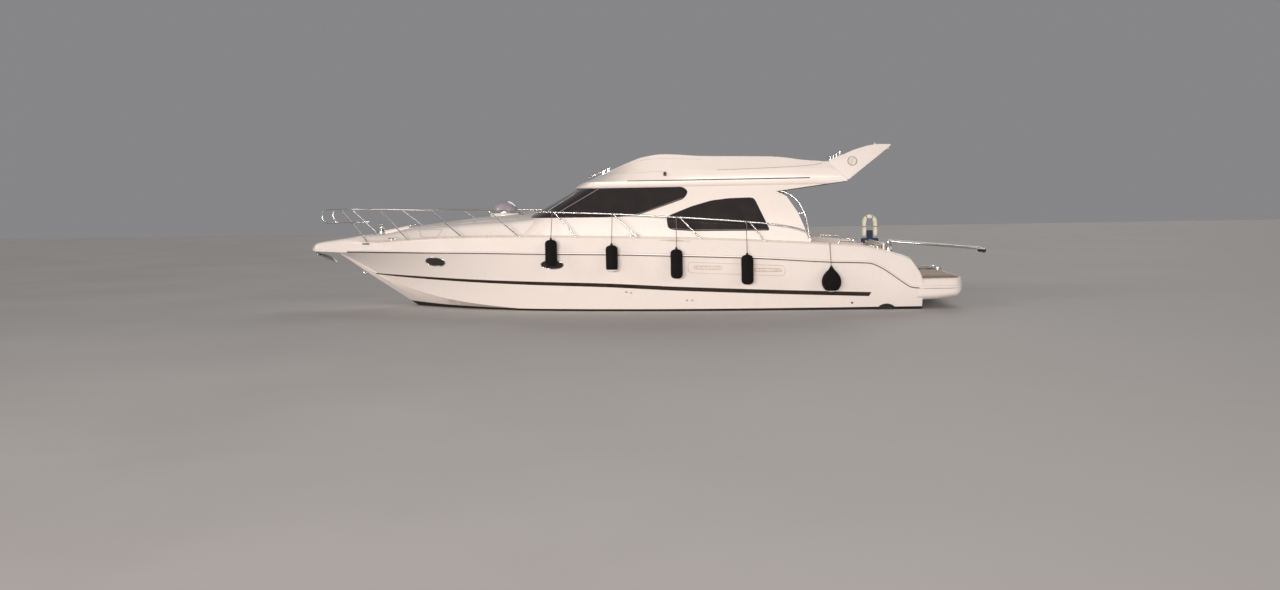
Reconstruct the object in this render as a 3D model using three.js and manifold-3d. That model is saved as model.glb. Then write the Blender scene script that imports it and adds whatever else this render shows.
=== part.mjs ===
// Flybridge motor yacht, about 13 m long, modelled afloat.
// Millimetres. +X points to the bow, +Y to port, +Z up.
// The origin is on the waterline, on the centreline, amidships.

import * as THREE from 'three';
import { mergeVertices } from 'three/addons/utils/BufferGeometryUtils.js';
import Module from 'manifold-3d';

const wasm = await Module();
wasm.setup();

// Driving dimensions
const GAP = 0.3; // left between pieces that touch
const TRANSOM_X = -5690; // where the hull bottom ends
const STEM_X = 5960; // where the stem meets the bow tongue
const STRAKE_PROUD = 16; // rubbing strake, beyond the deck joint
const POCKET_Y = 1490; // half-width of saloon and cockpit at deck level
const SOLE_Z = 600; // walking surface of saloon and cockpit
const SOLE_THICK = 50;
const PLATFORM_Z = 560; // bathing platform, before its teak
const WALL = 60; // cabin side thickness
const ROOF_Z = 2465; // top of the cabin roof
const CEILING_Z = 2370; // underside of the cabin roof
const FLY_FLOOR_Z = 2510;
const RAIL_R = 14; // guard rail tube
const STANCHION_R = 12;
const BULKHEAD_X = -2750; // middle of the after saloon bulkhead
const SHAFT_Y = 620; // shaft lines and rudders, off the centreline

// Hull form, stern to bow. Each row: x, keel height, chine half-width, chine height, topside
// fullness (outwards), half-width and height of the hull-to-deck joint.
const HULL_ROWS = [
  [-5690, -470, 1690, -110, 20, 1880, 385],
  [-5500, -475, 1695, -110, 20, 1890, 400],
  [-5300, -480, 1700, -110, 22, 1900, 520],
  [-4920, -488, 1712, -108, 24, 1912, 780],
  [-4720, -495, 1715, -105, 25, 1920, 860],
  [-4000, -510, 1735, -100, 28, 1950, 890],
  [-2600, -540, 1745, -90, 30, 1995, 980],
  [-1090, -565, 1715, -70, 30, 2000, 1040],
  [130, -580, 1630, -40, 25, 1965, 1080],
  [1570, -565, 1440, 20, 5, 1850, 1105],
  [2600, -500, 1180, 95, -25, 1660, 1125],
  [3400, -370, 900, 190, -50, 1430, 1130],
  [4160, -90, 560, 340, -65, 1130, 1130],
  [4690, 240, 310, 500, -60, 880, 1130],
  [5350, 670, 95, 810, -30, 520, 1130],
  [5860, 1015, 30, 1060, -5, 190, 1130],
  [5960, 1080, 14, 1100, 0, 90, 1130],
];

// Deck moulding, stern to bow. Each row: x, deck edge half-width and height, coachroof foot
// half-width and height, coachroof shoulder half-width and height, height on the centreline.
const DECK_ROWS = [
  [-6490, 1400, 545, 1380, 552, 1340, 556, 560],
  [-6460, 1570, 550, 1540, 556, 1500, 558, 560],
  [-6400, 1690, 552, 1660, 558, 1600, 560, 560],
  [-6300, 1760, 553, 1730, 559, 1650, 560, 560],
  [-5700, 1830, 556, 1790, 560, 1700, 560, 560],
  [-5675, 1835, 640, 1795, 650, 1700, 652, 655],
  [-5560, 1840, 820, 1800, 845, 1700, 850, 855],
  [-5480, 1845, 920, 1800, 945, 1690, 950, 955],
  [-5100, 1850, 1060, 1800, 1078, 1680, 1082, 1085],
  [-4730, 1856, 1155, 1790, 1172, 1670, 1176, 1178],
  [-4220, 1866, 1212, 1780, 1225, 1660, 1228, 1230],
  [-3650, 1880, 1248, 1700, 1258, 1620, 1262, 1266],
  [-2690, 1905, 1308, 1680, 1316, 1600, 1322, 1330],
  [-1620, 1915, 1362, 1680, 1370, 1600, 1376, 1382],
  [-480, 1910, 1398, 1670, 1406, 1590, 1412, 1420],
  [820, 1852, 1430, 1600, 1440, 1520, 1450, 1460],
  [1150, 1828, 1436, 1570, 1446, 1490, 1640, 1660],
  [1400, 1803, 1440, 1540, 1450, 1430, 1775, 1870],
  [1800, 1755, 1442, 1490, 1452, 1370, 1740, 1890],
  [2220, 1690, 1443, 1420, 1453, 1280, 1705, 1868],
  [2930, 1545, 1440, 1290, 1450, 1130, 1675, 1812],
  [3620, 1330, 1420, 1090, 1432, 930, 1622, 1735],
  [4230, 1080, 1390, 880, 1402, 720, 1585, 1660],
  [5020, 670, 1345, 560, 1362, 430, 1478, 1512],
  [5400, 480, 1345, 430, 1385, 340, 1470, 1490],
  [5700, 385, 1340, 350, 1400, 270, 1430, 1442],
  [6040, 335, 1310, 305, 1370, 220, 1388, 1396],
  [6400, 275, 1260, 245, 1318, 160, 1330, 1336],
  [6520, 130, 1200, 115, 1235, 70, 1245, 1250],
];

// Underside of the bow tongue, aft to forward: x, half-width, height.
const TONGUE_ROWS = [
  [5350, 520, 1130],
  [5600, 425, 1130],
  [5860, 370, 1135],
  [6040, 345, 1145],
  [6400, 290, 1162],
  [6520, 140, 1175],
];

// Underside of the stern extension: x, half-width at the bottom, height of the bottom.
const EXTENSION_ROWS = [
  [-6480, 1420, 350],
  [-6455, 1520, 310],
  [-6350, 1660, 215],
  [-5730, 1760, 172],
  [-5600, 1770, 172],
];

// Plan outline of the cabin at several heights: z, side half-width, x where the front corner
// starts to turn, x of the front on the centreline.
const CABIN_LEVELS = [
  [1150, 1640, 1560, 2960],
  [1830, 1555, 1120, 1830],
  [2350, 1470, 330, 880],
];
const ROOF_LEVELS = [
  [2350, 1476, 360, 930],
  [2385, 1496, 375, 985],
  [ROOF_Z, 1500, 360, 960],
];
const CABIN_AFT_X = -4390;

// Flybridge moulding, stern to bow: x, shoulder half-width and height, top half-width and height.
const FLY_ROWS = [
  [-4395, 1478, 2560, 1420, 2620],
  [-4060, 1468, 2640, 1392, 2765],
  [-3610, 1470, 2655, 1380, 2812],
  [-3030, 1472, 2660, 1372, 2888],
  [-1650, 1470, 2660, 1362, 2930],
  [-900, 1448, 2660, 1318, 2980],
  [-530, 1420, 2650, 1252, 2935],
  [-270, 1378, 2640, 1165, 2855],
  [110, 1262, 2600, 965, 2735],
  [450, 1065, 2560, 690, 2632],
  [710, 780, 2520, 420, 2550],
  [880, 440, 2490, 200, 2502],
  [945, 160, 2474, 80, 2478],
];
const FLY_NOSE = { sideY: 1492, cornerX: 340, frontX: 948 };

const group = new THREE.Group();

const COLOURS = {
  gelcoat: [0xf1e9e2, 0.25, 0],
  glass: [0x1c1a1c, 0.08, 0],
  steel: [0xd5d6d8, 0.2, 1],
  rubber: [0x151515, 0.6, 0],
  teak: [0xa9774a, 0.6, 0],
  cushion: [0xe7dfd2, 0.8, 0],
  dark: [0x2a2b2e, 0.5, 0],
  bronze: [0xb0854a, 0.35, 1],
  engine: [0x9fa4a8, 0.5, 0.4],
  navy: [0x1d2740, 0.7, 0],
  cream: [0xefe6cf, 0.6, 0],
};

function addPiece(name, solid, colour) {
  const [color, roughness, metalness] = COLOURS[colour];
  const material = new THREE.MeshStandardMaterial({ color, roughness, metalness });
  const mesh = new THREE.Mesh(solid, material);
  mesh.name = name;
  group.add(mesh);
  return solid;
}

// Smooth curve through the rows of one column, with no overshoot between rows.
function curveThrough(rows, column) {
  const x = rows.map((row) => row[0]);
  const y = rows.map((row) => row[column]);
  const slope = x.slice(1).map((end, i) => (y[i + 1] - y[i]) / (end - x[i]));
  const tangent = x.map((_, i) => {
    const before = slope[Math.max(i - 1, 0)];
    const after = slope[Math.min(i, slope.length - 1)];
    return before * after <= 0 ? 0 : (2 * before * after) / (before + after);
  });
  return (at) => {
    const last = x.length - 2;
    const i = Math.min(Math.max(x.findIndex((end) => end >= at) - 1, 0), last);
    const width = x[i + 1] - x[i];
    const t = THREE.MathUtils.clamp((at - x[i]) / width, 0, 1);
    const a = (1 + 2 * t) * (1 - t) ** 2 * y[i] + t * (1 - t) ** 2 * width * tangent[i];
    return a + t * t * (3 - 2 * t) * y[i + 1] + t * t * (t - 1) * width * tangent[i + 1];
  };
}

function curvesThrough(rows) {
  return rows[0].slice(1).map((_, i) => curveThrough(rows, i + 1));
}

// Stations for a loft: every row's x, with the long stretches between them divided.
function stations(rows, longest = 330) {
  const list = [rows[0][0]];
  for (const row of rows.slice(1)) {
    const from = list[list.length - 1];
    const parts = Math.max(1, Math.round((row[0] - from) / longest));
    for (let i = 1; i <= parts; i++) list.push(from + ((row[0] - from) * i) / parts);
  }
  return list;
}

function geometryOf(points, index) {
  const geometry = new THREE.BufferGeometry();
  geometry.setAttribute('position', new THREE.Float32BufferAttribute(points, 3));
  geometry.setIndex(index);
  geometry.computeVertexNormals();
  return geometry;
}

// Geometry with its faces turned outwards, whichever way its triangles ran.
function outward(points, index) {
  let volume = 0;
  const corner = (i) => new THREE.Vector3().fromArray(points, index[i] * 3);
  for (let i = 0; i < index.length; i += 3) {
    volume += corner(i).dot(corner(i + 1).cross(corner(i + 2)));
  }
  return geometryOf(points, volume < 0 ? index.reverse() : index);
}

// Closed solid through rings of points that all have the same number of corners. Each end is
// closed by a fan about its middle, so a ring has to be seen whole from there.
function loft(rings) {
  const n = rings[0].length;
  const index = [];
  for (let r = 0; r < rings.length - 1; r++) {
    for (let i = 0; i < n; i++) {
      const a = r * n + i;
      const b = r * n + ((i + 1) % n);
      index.push(a, b, b + n, a, b + n, a + n);
    }
  }
  const last = rings.length - 1;
  const middles = [rings[0], rings[last]].map((ring) => (
    ring.reduce((sum, p) => sum.add(p), new THREE.Vector3()).divideScalar(n)
  ));
  for (let i = 0; i < n; i++) {
    const next = (i + 1) % n;
    index.push((last + 1) * n, next, i);
    index.push((last + 1) * n + 1, last * n + i, last * n + next);
  }
  const points = [...rings.flat(), ...middles].flatMap((p) => [p.x, p.y, p.z]);
  return outward(points, index);
}

function toSolid(geometry) {
  const plain = new THREE.BufferGeometry();
  plain.setAttribute('position', geometry.getAttribute('position'));
  plain.setIndex(geometry.getIndex());
  const merged = mergeVertices(plain, 1e-3);
  const corners = merged.getIndex().array;
  const kept = [];
  for (let i = 0; i < corners.length; i += 3) {
    const [a, b, c] = [corners[i], corners[i + 1], corners[i + 2]];
    if (a !== b && b !== c && c !== a) kept.push(a, b, c);
  }
  const vertProperties = Float32Array.from(merged.getAttribute('position').array);
  const mesh = new wasm.Mesh({ numProp: 3, vertProperties, triVerts: Uint32Array.from(kept) });
  return new wasm.Manifold(mesh);
}

function fromSolid(solid) {
  const mesh = solid.getMesh();
  return geometryOf(Array.from(mesh.vertProperties), Array.from(mesh.triVerts));
}

function union(...parts) {
  return fromSolid(parts.map(toSolid).reduce((sum, next) => sum.add(next)));
}

function cut(body, ...cutters) {
  return fromSolid(cutters.map(toSolid).reduce((rest, next) => rest.subtract(next), toSolid(body)));
}

function common(a, b) {
  return fromSolid(toSolid(a).intersect(toSolid(b)));
}

function moved(geometry, x, y, z) {
  return geometry.clone().translate(x, y, z);
}

function mirrored(geometry) {
  const copy = geometry.clone().scale(1, -1, 1);
  const index = Array.from(copy.getIndex().array).reverse();
  return geometryOf(Array.from(copy.getAttribute('position').array), index);
}

function indexed(geometry) {
  const plain = new THREE.BufferGeometry();
  plain.setAttribute('position', geometry.getAttribute('position'));
  if (geometry.getIndex()) plain.setIndex(geometry.getIndex());
  const merged = mergeVertices(plain, 1e-3);
  merged.computeVertexNormals();
  return merged;
}

function box(x0, x1, y0, y1, z0, z1) {
  const block = new THREE.BoxGeometry(x1 - x0, y1 - y0, z1 - z0);
  return indexed(block.translate((x0 + x1) / 2, (y0 + y1) / 2, (z0 + z1) / 2));
}

function prism(points, depth, basis) {
  const shape = new THREE.Shape(points.map(([u, v]) => new THREE.Vector2(u, v)));
  const solid = new THREE.ExtrudeGeometry(shape, { depth, bevelEnabled: false, steps: 1 });
  return indexed(solid.applyMatrix4(basis));
}

const AXIS = {
  x: new THREE.Vector3(1, 0, 0),
  y: new THREE.Vector3(0, 1, 0),
  z: new THREE.Vector3(0, 0, 1),
};

// A side-view outline of [x, z] points, from y0 to y1.
function sideways(points, y0, y1) {
  const basis = new THREE.Matrix4().makeBasis(AXIS.x, AXIS.z, AXIS.y.clone().negate());
  return moved(prism(points, y1 - y0, basis), 0, y1, 0);
}

// A front-view outline of [y, z] points, from x0 to x1.
function lengthways(points, x0, x1) {
  const basis = new THREE.Matrix4().makeBasis(AXIS.y, AXIS.z, AXIS.x);
  return moved(prism(points, x1 - x0, basis), x0, 0, 0);
}

// A plan outline of [x, y] points, from z0 to z1.
function upwards(points, z0, z1) {
  return moved(prism(points, z1 - z0, new THREE.Matrix4()), 0, 0, z0);
}

function circle(radius, sides) {
  return Array.from({ length: sides }, (_, i) => {
    const turn = (2 * Math.PI * (i + 0.5)) / sides;
    return new THREE.Vector2(radius * Math.cos(turn), radius * Math.sin(turn));
  });
}

// A round bar through points, with smooth bends.
function bar(points, radius, { sides = 6, steps = 0, closed = false } = {}) {
  const places = points.map(([x, y, z]) => new THREE.Vector3(x, y, z));
  const path = places.length === 2
    ? new THREE.LineCurve3(...places)
    : new THREE.CatmullRomCurve3(places, closed, 'centripetal');
  const count = steps || (places.length === 2 ? 1 : (places.length - 1) * 3);
  const options = { steps: count, bevelEnabled: false, extrudePath: path };
  return indexed(new THREE.ExtrudeGeometry(new THREE.Shape(circle(radius, sides)), options));
}

function disc(centre, axis, radius, length, sides = 12) {
  const from = new THREE.Vector3(...centre);
  const to = from.clone().addScaledVector(new THREE.Vector3(...axis).normalize(), length);
  return bar([from.toArray(), to.toArray()], radius, { sides });
}

// A turned solid about +Z. Its profile of [radius, z] points starts and ends on the axis.
function turned(profile, sides = 20) {
  const points = profile.map(([r, z]) => new THREE.Vector2(r, z));
  const solid = indexed(new THREE.LatheGeometry(points, sides).rotateX(Math.PI / 2));
  const index = Array.from(solid.getIndex().array);
  const kept = [];
  for (let i = 0; i < index.length; i += 3) {
    const [a, b, c] = index.slice(i, i + 3);
    if (a !== b && b !== c && c !== a) kept.push(a, b, c);
  }
  return outward(Array.from(solid.getAttribute('position').array), kept);
}

// Outline moved inwards by a distance, corner by corner. Points run anticlockwise.
function inset(points, distance) {
  const n = points.length;
  const side = (i) => {
    const [a, b] = [points[i % n], points[(i + 1) % n]];
    const length = Math.hypot(b[0] - a[0], b[1] - a[1]);
    return [-(b[1] - a[1]) / length, (b[0] - a[0]) / length];
  };
  return points.map((p, i) => {
    const [before, after] = [side(i + n - 1), side(i)];
    const scale = distance / (1 + before[0] * after[0] + before[1] * after[1]);
    return [p[0] + (before[0] + after[0]) * scale, p[1] + (before[1] + after[1]) * scale];
  });
}

const [keelZ, chineY, chineZ, fullness, jointY, jointZ] = curvesThrough(HULL_ROWS);
const [edgeY, edgeZ, footY, footZ, shoulderY, shoulderZ, crownZ] = curvesThrough(DECK_ROWS);
const [tongueY, tongueZ] = curvesThrough(TONGUE_ROWS);

// Hull and deck share their stations, so that they meet all the way round.
const SHARED_X = [...HULL_ROWS, ...DECK_ROWS].map(([x]) => x).sort((a, b) => a - b)
  .filter((x, i, all) => i === 0 || x - all[i - 1] > (x < -5000 ? 5 : 75));

function bothSides(x, half, bottomMiddle, topMiddle) {
  const port = half.map(([y, z]) => new THREE.Vector3(x, y, z));
  const starboard = half.map(([y, z]) => new THREE.Vector3(x, -y, z)).reverse();
  const low = bottomMiddle === null ? [] : [new THREE.Vector3(x, 0, bottomMiddle)];
  const high = topMiddle === null ? [] : [new THREE.Vector3(x, 0, topMiddle)];
  return [...low, ...port, ...high, ...starboard];
}

// Half-width of the deck joint on the bathing platform, past the hull's own stations.
const PLATFORM_EDGE = curveThrough([
  [-6490, 1450], [-6460, 1610], [-6400, 1730], [-6300, 1800], [-5690, 1880],
], 1);
const PLATFORM_JOINT_Z = 385;

function deckJoint(x) {
  if (x < TRANSOM_X) return [PLATFORM_EDGE(x), PLATFORM_JOINT_Z];
  return x > 5350 ? [tongueY(x), tongueZ(x)] : [jointY(x), jointZ(x)];
}

function hullRing(x) {
  const [ky, cy, cz, ry, rz] = [keelZ(x), chineY(x), chineZ(x), jointY(x), jointZ(x)];
  const full = fullness(x);
  const at = (t) => [cy + (ry - cy) * t + full * 4 * t * (1 - t), cz + (rz - cz) * t];
  const flat = Math.min(45, cy * 0.2);
  const bottom = [cy * 0.5, ky + (cz - ky) * 0.47];
  const half = [bottom, [cy - flat, cz - 12], [cy, cz], at(0.2), at(0.4), at(0.6), at(0.8), [ry, rz]];
  return bothSides(x, half, ky, null);
}

function makeHull() {
  const main = loft(SHARED_X.filter((x) => x >= TRANSOM_X && x <= STEM_X).map(hullRing));
  const [bottomY, bottomZ] = curvesThrough(EXTENSION_ROWS);
  const extension = loft(stations(EXTENSION_ROWS).map((x) => {
    const outer = Math.min(PLATFORM_EDGE(x), 1880);
    const half = [[bottomY(x), bottomZ(x)], [outer, Math.min(PLATFORM_JOINT_Z - 8, bottomZ(x) + 70)],
      [outer, PLATFORM_JOINT_Z]];
    return bothSides(x, half, null, null);
  }));
  return union(main, extension);
}

function deckRing(x) {
  const [y, z] = deckJoint(x);
  const proud = x > 5700 ? 6 : STRAKE_PROUD;
  const half = [
    [y, z + GAP], [y + proud, z + 6], [y + proud, z + 44], [y - 4, z + 52],
    [edgeY(x), edgeZ(x)], [footY(x), footZ(x)], [shoulderY(x), shoulderZ(x)],
    [shoulderY(x) * 0.55, shoulderZ(x) + (crownZ(x) - shoulderZ(x)) * 0.75],
  ];
  return bothSides(x, half, null, crownZ(x));
}

// Plan outline of the cabin, anticlockwise seen from above.
function cabinHalfWidth(x, { sideY, cornerX, frontX }) {
  if (x <= cornerX) return sideY;
  const t = Math.min((x - cornerX) / (frontX - cornerX), 1);
  return sideY * (1 - t ** 2.2) ** (1 / 2.2);
}

function cabinOutline(level) {
  const port = [];
  const arcSteps = 8;
  for (let i = 0; i <= arcSteps; i++) {
    const turn = (i / arcSteps) * (Math.PI / 2);
    const x = level.cornerX + (level.frontX - level.cornerX) * Math.sin(turn);
    port.push([x, i === arcSteps ? 0 : cabinHalfWidth(x, level)]);
  }
  const starboard = port.slice(0, -1).map(([x, y]) => [x, -y]);
  return [[CABIN_AFT_X, -level.sideY], ...starboard, ...port.reverse(), [CABIN_AFT_X, level.sideY]];
}

function cabinLoft(rows, distance, extraAft = 0) {
  return loft(rows.map(([z, sideY, cornerX, frontX]) => {
    const outline = inset(cabinOutline({ sideY, cornerX, frontX }), distance);
    return outline.map(([x, y]) => new THREE.Vector3(x < CABIN_AFT_X + 100 ? x - extraAft : x, y, z));
  }));
}

// Side view outlines of the cabin openings
const FRONT_SIDE_WINDOW = [
  [1010, 1905], [270, 2335], [-1120, 2340], [-1280, 2330], [-1370, 2245], [-1290, 2130],
  [-460, 1850], [-200, 1822], [70, 1812], [600, 1845],
];
const SALOON_WINDOW = [
  [-2930, 1490], [-1460, 1502], [-1080, 1532], [-1000, 1575], [-975, 1765], [-1040, 1810],
  [-1450, 1970], [-1830, 2075], [-2160, 2112], [-2590, 2120], [-2650, 2090],
];
const CABIN_AFT_CUT = [
  [-3060, 2230], [-3250, 2130], [-3450, 1830], [-3560, 1570], [-3670, 1260], [-3720, 900],
  [-6000, 900], [-6000, 2610], [-4380, 2400],
];

// Side view outline of what lies abaft the joint between superstructure and radar arch
const ARCH_JOINT = [[-4035, 3200], [-4900, 3200], [-4900, 2300], [-4505, 2300], [-4035, 2790]];

const deckSolid = loft(SHARED_X.map(deckRing));
const hullSolid = makeHull();

// Spaces inside the boat
const SALOON_FRONT_X = 1150;
const COCKPIT_AFT_X = -5080;
const CABIN_ROOM = box(1500, 3300, -900, 900, 150, 1560);
const PASSAGE = box(1100, 1600, 120, 740, SOLE_Z - SOLE_THICK, 1560);
const SALOON_ROOM = box(COCKPIT_AFT_X, SALOON_FRONT_X, -POCKET_Y, POCKET_Y, SOLE_Z - SOLE_THICK, 2000);
const ENGINE_ROOM = box(-4700, -1700, -1250, 1250, -190, SOLE_Z);
const HATCH_X = 2450;
const HATCH_R = 265;
const HATCH_HOLE = disc([HATCH_X, 0, 1300], [0, 0, 1], HATCH_R - 25, 900, 24);
const LOCKER = { x: 4665, z: 1597, halfX: 235, halfY: 250, frame: 30, lid: 24, slope: 10.6 };
const LOCKER_ROOM = box(LOCKER.x - LOCKER.halfX, LOCKER.x + LOCKER.halfX, -LOCKER.halfY, LOCKER.halfY, 1220, 2000);
const GATE = { y0: -1150, y1: -520, x: -5250, hinge: 22, r: 15 };
const GATE_PASSAGE = box(-5800, COCKPIT_AFT_X + 50, GATE.y0, GATE.y1, PLATFORM_Z, 2000);

// Hull with its underwater fittings
const SHAFT_TILT = THREE.MathUtils.degToRad(10.5);
const SHAFT_AXIS = [-Math.cos(SHAFT_TILT), 0, -Math.sin(SHAFT_TILT)];
const PROP = { x: -4850, z: -780, r: 270 };
const SHAFT_LENGTH = 1700;
const SHAFT_R = 19;
const RUDDER = { x: -5290, top: -420 };

function along(distance, y) {
  return [PROP.x + SHAFT_AXIS[0] * distance, y, PROP.z + SHAFT_AXIS[2] * distance];
}

function shaftLog(y) {
  const face = along(-SHAFT_LENGTH, y);
  const log = disc(face, SHAFT_AXIS.map((v) => -v), 48, 560, 12);
  const barrel = cut(disc(along(-330, y), SHAFT_AXIS, 40, 150, 12),
    disc(along(-340, y), SHAFT_AXIS, SHAFT_R + 1.5, 170, 12));
  const strut = sideways([[-4600, -300], [-4470, -300], [-4508, -695], [-4598, -705]], y - 9, y + 9);
  const clear = disc(along(-340, y), SHAFT_AXIS, SHAFT_R + 1.5, 170, 12);
  const boss = disc([RUDDER.x, y, RUDDER.top], [0, 0, 1], 42, 240, 12);
  return [log, barrel, cut(strut, clear), boss];
}

const hullOutside = union(hullSolid, ...shaftLog(SHAFT_Y), ...shaftLog(-SHAFT_Y));
const exhaust = [1, -1].map((side) => disc([-5040, side * 1600, 62], [0, side, 0.05], 75, 215, 16));
const hull = cut(union(hullOutside, ...exhaust), CABIN_ROOM, PASSAGE, SALOON_ROOM, ENGINE_ROOM, GATE_PASSAGE);
addPiece('hull', hull, 'gelcoat');

// A slab lying on the foredeck's slope, between two heights over the locker's rim
function lockerSlab(low, high) {
  const [halfX, halfY] = [LOCKER.halfX + LOCKER.frame, LOCKER.halfY + LOCKER.frame];
  return box(-halfX, halfX, -halfY, halfY, low, high)
    .rotateY(THREE.MathUtils.degToRad(LOCKER.slope)).translate(LOCKER.x, 0, LOCKER.z);
}

// Deck moulding
const deckFrames = [
  disc([HATCH_X, 0, 1700], [0, 0, 1], HATCH_R + 30, 190, 24),
  lockerSlab(-120, 0),
];
const SLOT_Y = 60;
const bowSlot = [box(6100, 6600, -SLOT_Y - GAP, SLOT_Y + GAP, 1232 - GAP, 1500),
  box(6390, 6600, -SLOT_Y - GAP, SLOT_Y + GAP, 1100, 1500)];
const LADDER_SWIM = { x: -6515, z: 600, y0: -1050, y1: -650, length: 690, tube: 14 };
const ladderCheeks = [LADDER_SWIM.y0 - 30, LADDER_SWIM.y1 + 18].map((y) => (
  box(LADDER_SWIM.x - 20, -6440, y, y + 12, 540, LADDER_SWIM.z + 18)
));
const gateLugs = [SOLE_Z + 60, 900].map((z) => (
  box(GATE.x - 8, GATE.x + 8, GATE.y0 - 10, GATE.y0 + GATE.hinge - GATE.r - GAP, z, z + 60)
));
const deckOpened = cut(union(deckSolid, ...deckFrames, ...ladderCheeks), SALOON_ROOM, CABIN_ROOM, PASSAGE,
  HATCH_HOLE, LOCKER_ROOM, GATE_PASSAGE, ...bowSlot);
addPiece('deck', union(deckOpened, ...gateLugs), 'gelcoat');

// Deckhouse: cabin sides and roof, with the window openings cut
const wallsOuter = cabinLoft(CABIN_LEVELS, 0);
const wallsInner = cabinLoft([[900, 1671, 1790, 3420], ...CABIN_LEVELS.slice(1), [CEILING_Z, 1467, 300, 845]],
  WALL, 300);
const roof = cabinLoft(ROOF_LEVELS, 0);
const windscreenOpening = lengthways([[-1230, 1925], [1230, 1925], [1215, 2325], [-1215, 2325]], -150, 2400);
const sideOpening = (outline) => [sideways(outline, 1200, 1800), sideways(outline, -1800, -1200)];
const LADDER_HOLE = box(-3760, -3020, -1210, -560, 2200, 2600);
const deckhouse = cut(
  union(wallsOuter, roof), wallsInner, moved(deckSolid, 0, 0, GAP), windscreenOpening,
  ...sideOpening(FRONT_SIDE_WINDOW), ...sideOpening(SALOON_WINDOW),
  sideways(CABIN_AFT_CUT, -2200, 2200), LADDER_HOLE, sideways(ARCH_JOINT, -2000, 2000),
);
addPiece('deckhouse', deckhouse, 'gelcoat');

const glassSheet = cut(cabinLoft(CABIN_LEVELS, 8), cabinLoft([[900, 1671, 1790, 3420], ...CABIN_LEVELS.slice(1),
  [2600, 1430, -50, 420]], 20, 300));
const windscreenPane = lengthways(inset([[-1230, 1925], [1230, 1925], [1215, 2325], [-1215, 2325]], GAP), -140, 2390);
addPiece('windscreen', common(glassSheet, windscreenPane), 'glass');
for (const [name, outline] of [['front_side_glass', FRONT_SIDE_WINDOW], ['saloon_glass', SALOON_WINDOW]]) {
  const pane = common(glassSheet, sideways(inset(outline, GAP), 1200, 1800));
  addPiece(`${name}_port`, pane, 'glass');
  addPiece(`${name}_starboard`, mirrored(pane), 'glass');
}

// After bulkhead with the tracks of the sliding door
const DOOR = { y0: -330, y1: 510, z0: 625, z1: 2205, x0: -2812, x1: -2784 };
const bulkheadPanel = lengthways([
  [-1486, SOLE_Z + GAP], [1486, SOLE_Z + GAP], [1486, 1350], [1400, CEILING_Z - GAP], [-1400, CEILING_Z - GAP],
  [-1486, 1350],
], BULKHEAD_X - 25, BULKHEAD_X + 25);
const tracks = [[SOLE_Z + GAP, DOOR.z0 - GAP], [DOOR.z1 + GAP, DOOR.z1 + 26]].map(([z0, z1]) => (
  box(-2820, BULKHEAD_X - 20, DOOR.y0 - 10, 1330, z0, z1)
));
const bulkhead = cut(union(bulkheadPanel, ...tracks), box(-2800, -2700, -290, 470, 650, 2180),
  box(-2740, -2700, 560, 1290, 1050, 2150), box(-2800, -2755, 560, 1290, 1050, 2150));
addPiece('aft_bulkhead', bulkhead, 'gelcoat');
addPiece('saloon_door', box(DOOR.x0, DOOR.x1, DOOR.y0, DOOR.y1, DOOR.z0, DOOR.z1), 'glass');

// Sole, engine hatch and engines
const EHATCH = { x0: -4300, x1: -3350, halfY: 430 };
const soleOutline = [[COCKPIT_AFT_X + 1, -POCKET_Y + 1], [SALOON_FRONT_X - 1, -POCKET_Y + 1],
  [SALOON_FRONT_X - 1, POCKET_Y - 1], [COCKPIT_AFT_X + 1, POCKET_Y - 1]];
const sole = cut(upwards(soleOutline, SOLE_Z - SOLE_THICK + GAP, SOLE_Z),
  box(EHATCH.x0, EHATCH.x1, -EHATCH.halfY, EHATCH.halfY, SOLE_Z - 30, SOLE_Z + 10),
  box(EHATCH.x0 + 25, EHATCH.x1 - 25, -EHATCH.halfY + 25, EHATCH.halfY - 25, 400, SOLE_Z + 10));
addPiece('sole', sole, 'teak');
addPiece('engine_hatch', box(EHATCH.x0 + 5, EHATCH.x1 - 5, -EHATCH.halfY + 5, EHATCH.halfY - 5,
  SOLE_Z - 30 + GAP, SOLE_Z), 'teak');
for (const [side, y] of [['port', SHAFT_Y], ['starboard', -SHAFT_Y]]) {
  addPiece(`engine_${side}`, box(-3900, -2700, y - 370, y + 370, -190 + GAP, 480), 'engine');
}

// Saloon furniture
const rear = BULKHEAD_X + 30;
const sofa = union(box(rear + 100, -350, 780, 1480, SOLE_Z + GAP, 1010), box(rear + 100, -350, 1340, 1480, 1000, 1400));
addPiece('saloon_sofa', sofa, 'cushion');
addPiece('galley', box(-2600, -900, -1480, -880, SOLE_Z + GAP, 1450), 'cushion');
function wheelSolid(centre, axis, radius) {
  const ring = new THREE.TorusGeometry(radius, 14, 6, 20);
  const spokes = [0, 1, 2].map((i) => {
    const turn = Math.PI / 2 + (i * 2 * Math.PI) / 3;
    return bar([[0, 0, -6], [radius * Math.cos(turn), radius * Math.sin(turn), 0]], 10, { sides: 6 });
  });
  const hub = disc([0, 0, -HUB_BACK], [0, 0, 1], 34, 65, 10);
  const all = union(indexed(ring), ...spokes, hub);
  const facing = new THREE.Quaternion().setFromUnitVectors(AXIS.z, new THREE.Vector3(...axis).normalize());
  return all.applyQuaternion(facing).translate(...centre);
}

const WHEEL_TILT = THREE.MathUtils.degToRad(30);
const WHEEL_AXIS = [-Math.cos(WHEEL_TILT), 0, Math.sin(WHEEL_TILT)];
const HUB_BACK = 45; // from the wheel's middle to the back of its hub
const LOWER_WHEEL = [690, -900, 1600];
const UPPER_WHEEL = [-1700, -650, 2795];
addPiece('lower_wheel', wheelSolid(LOWER_WHEEL, WHEEL_AXIS, 185), 'dark');

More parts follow.
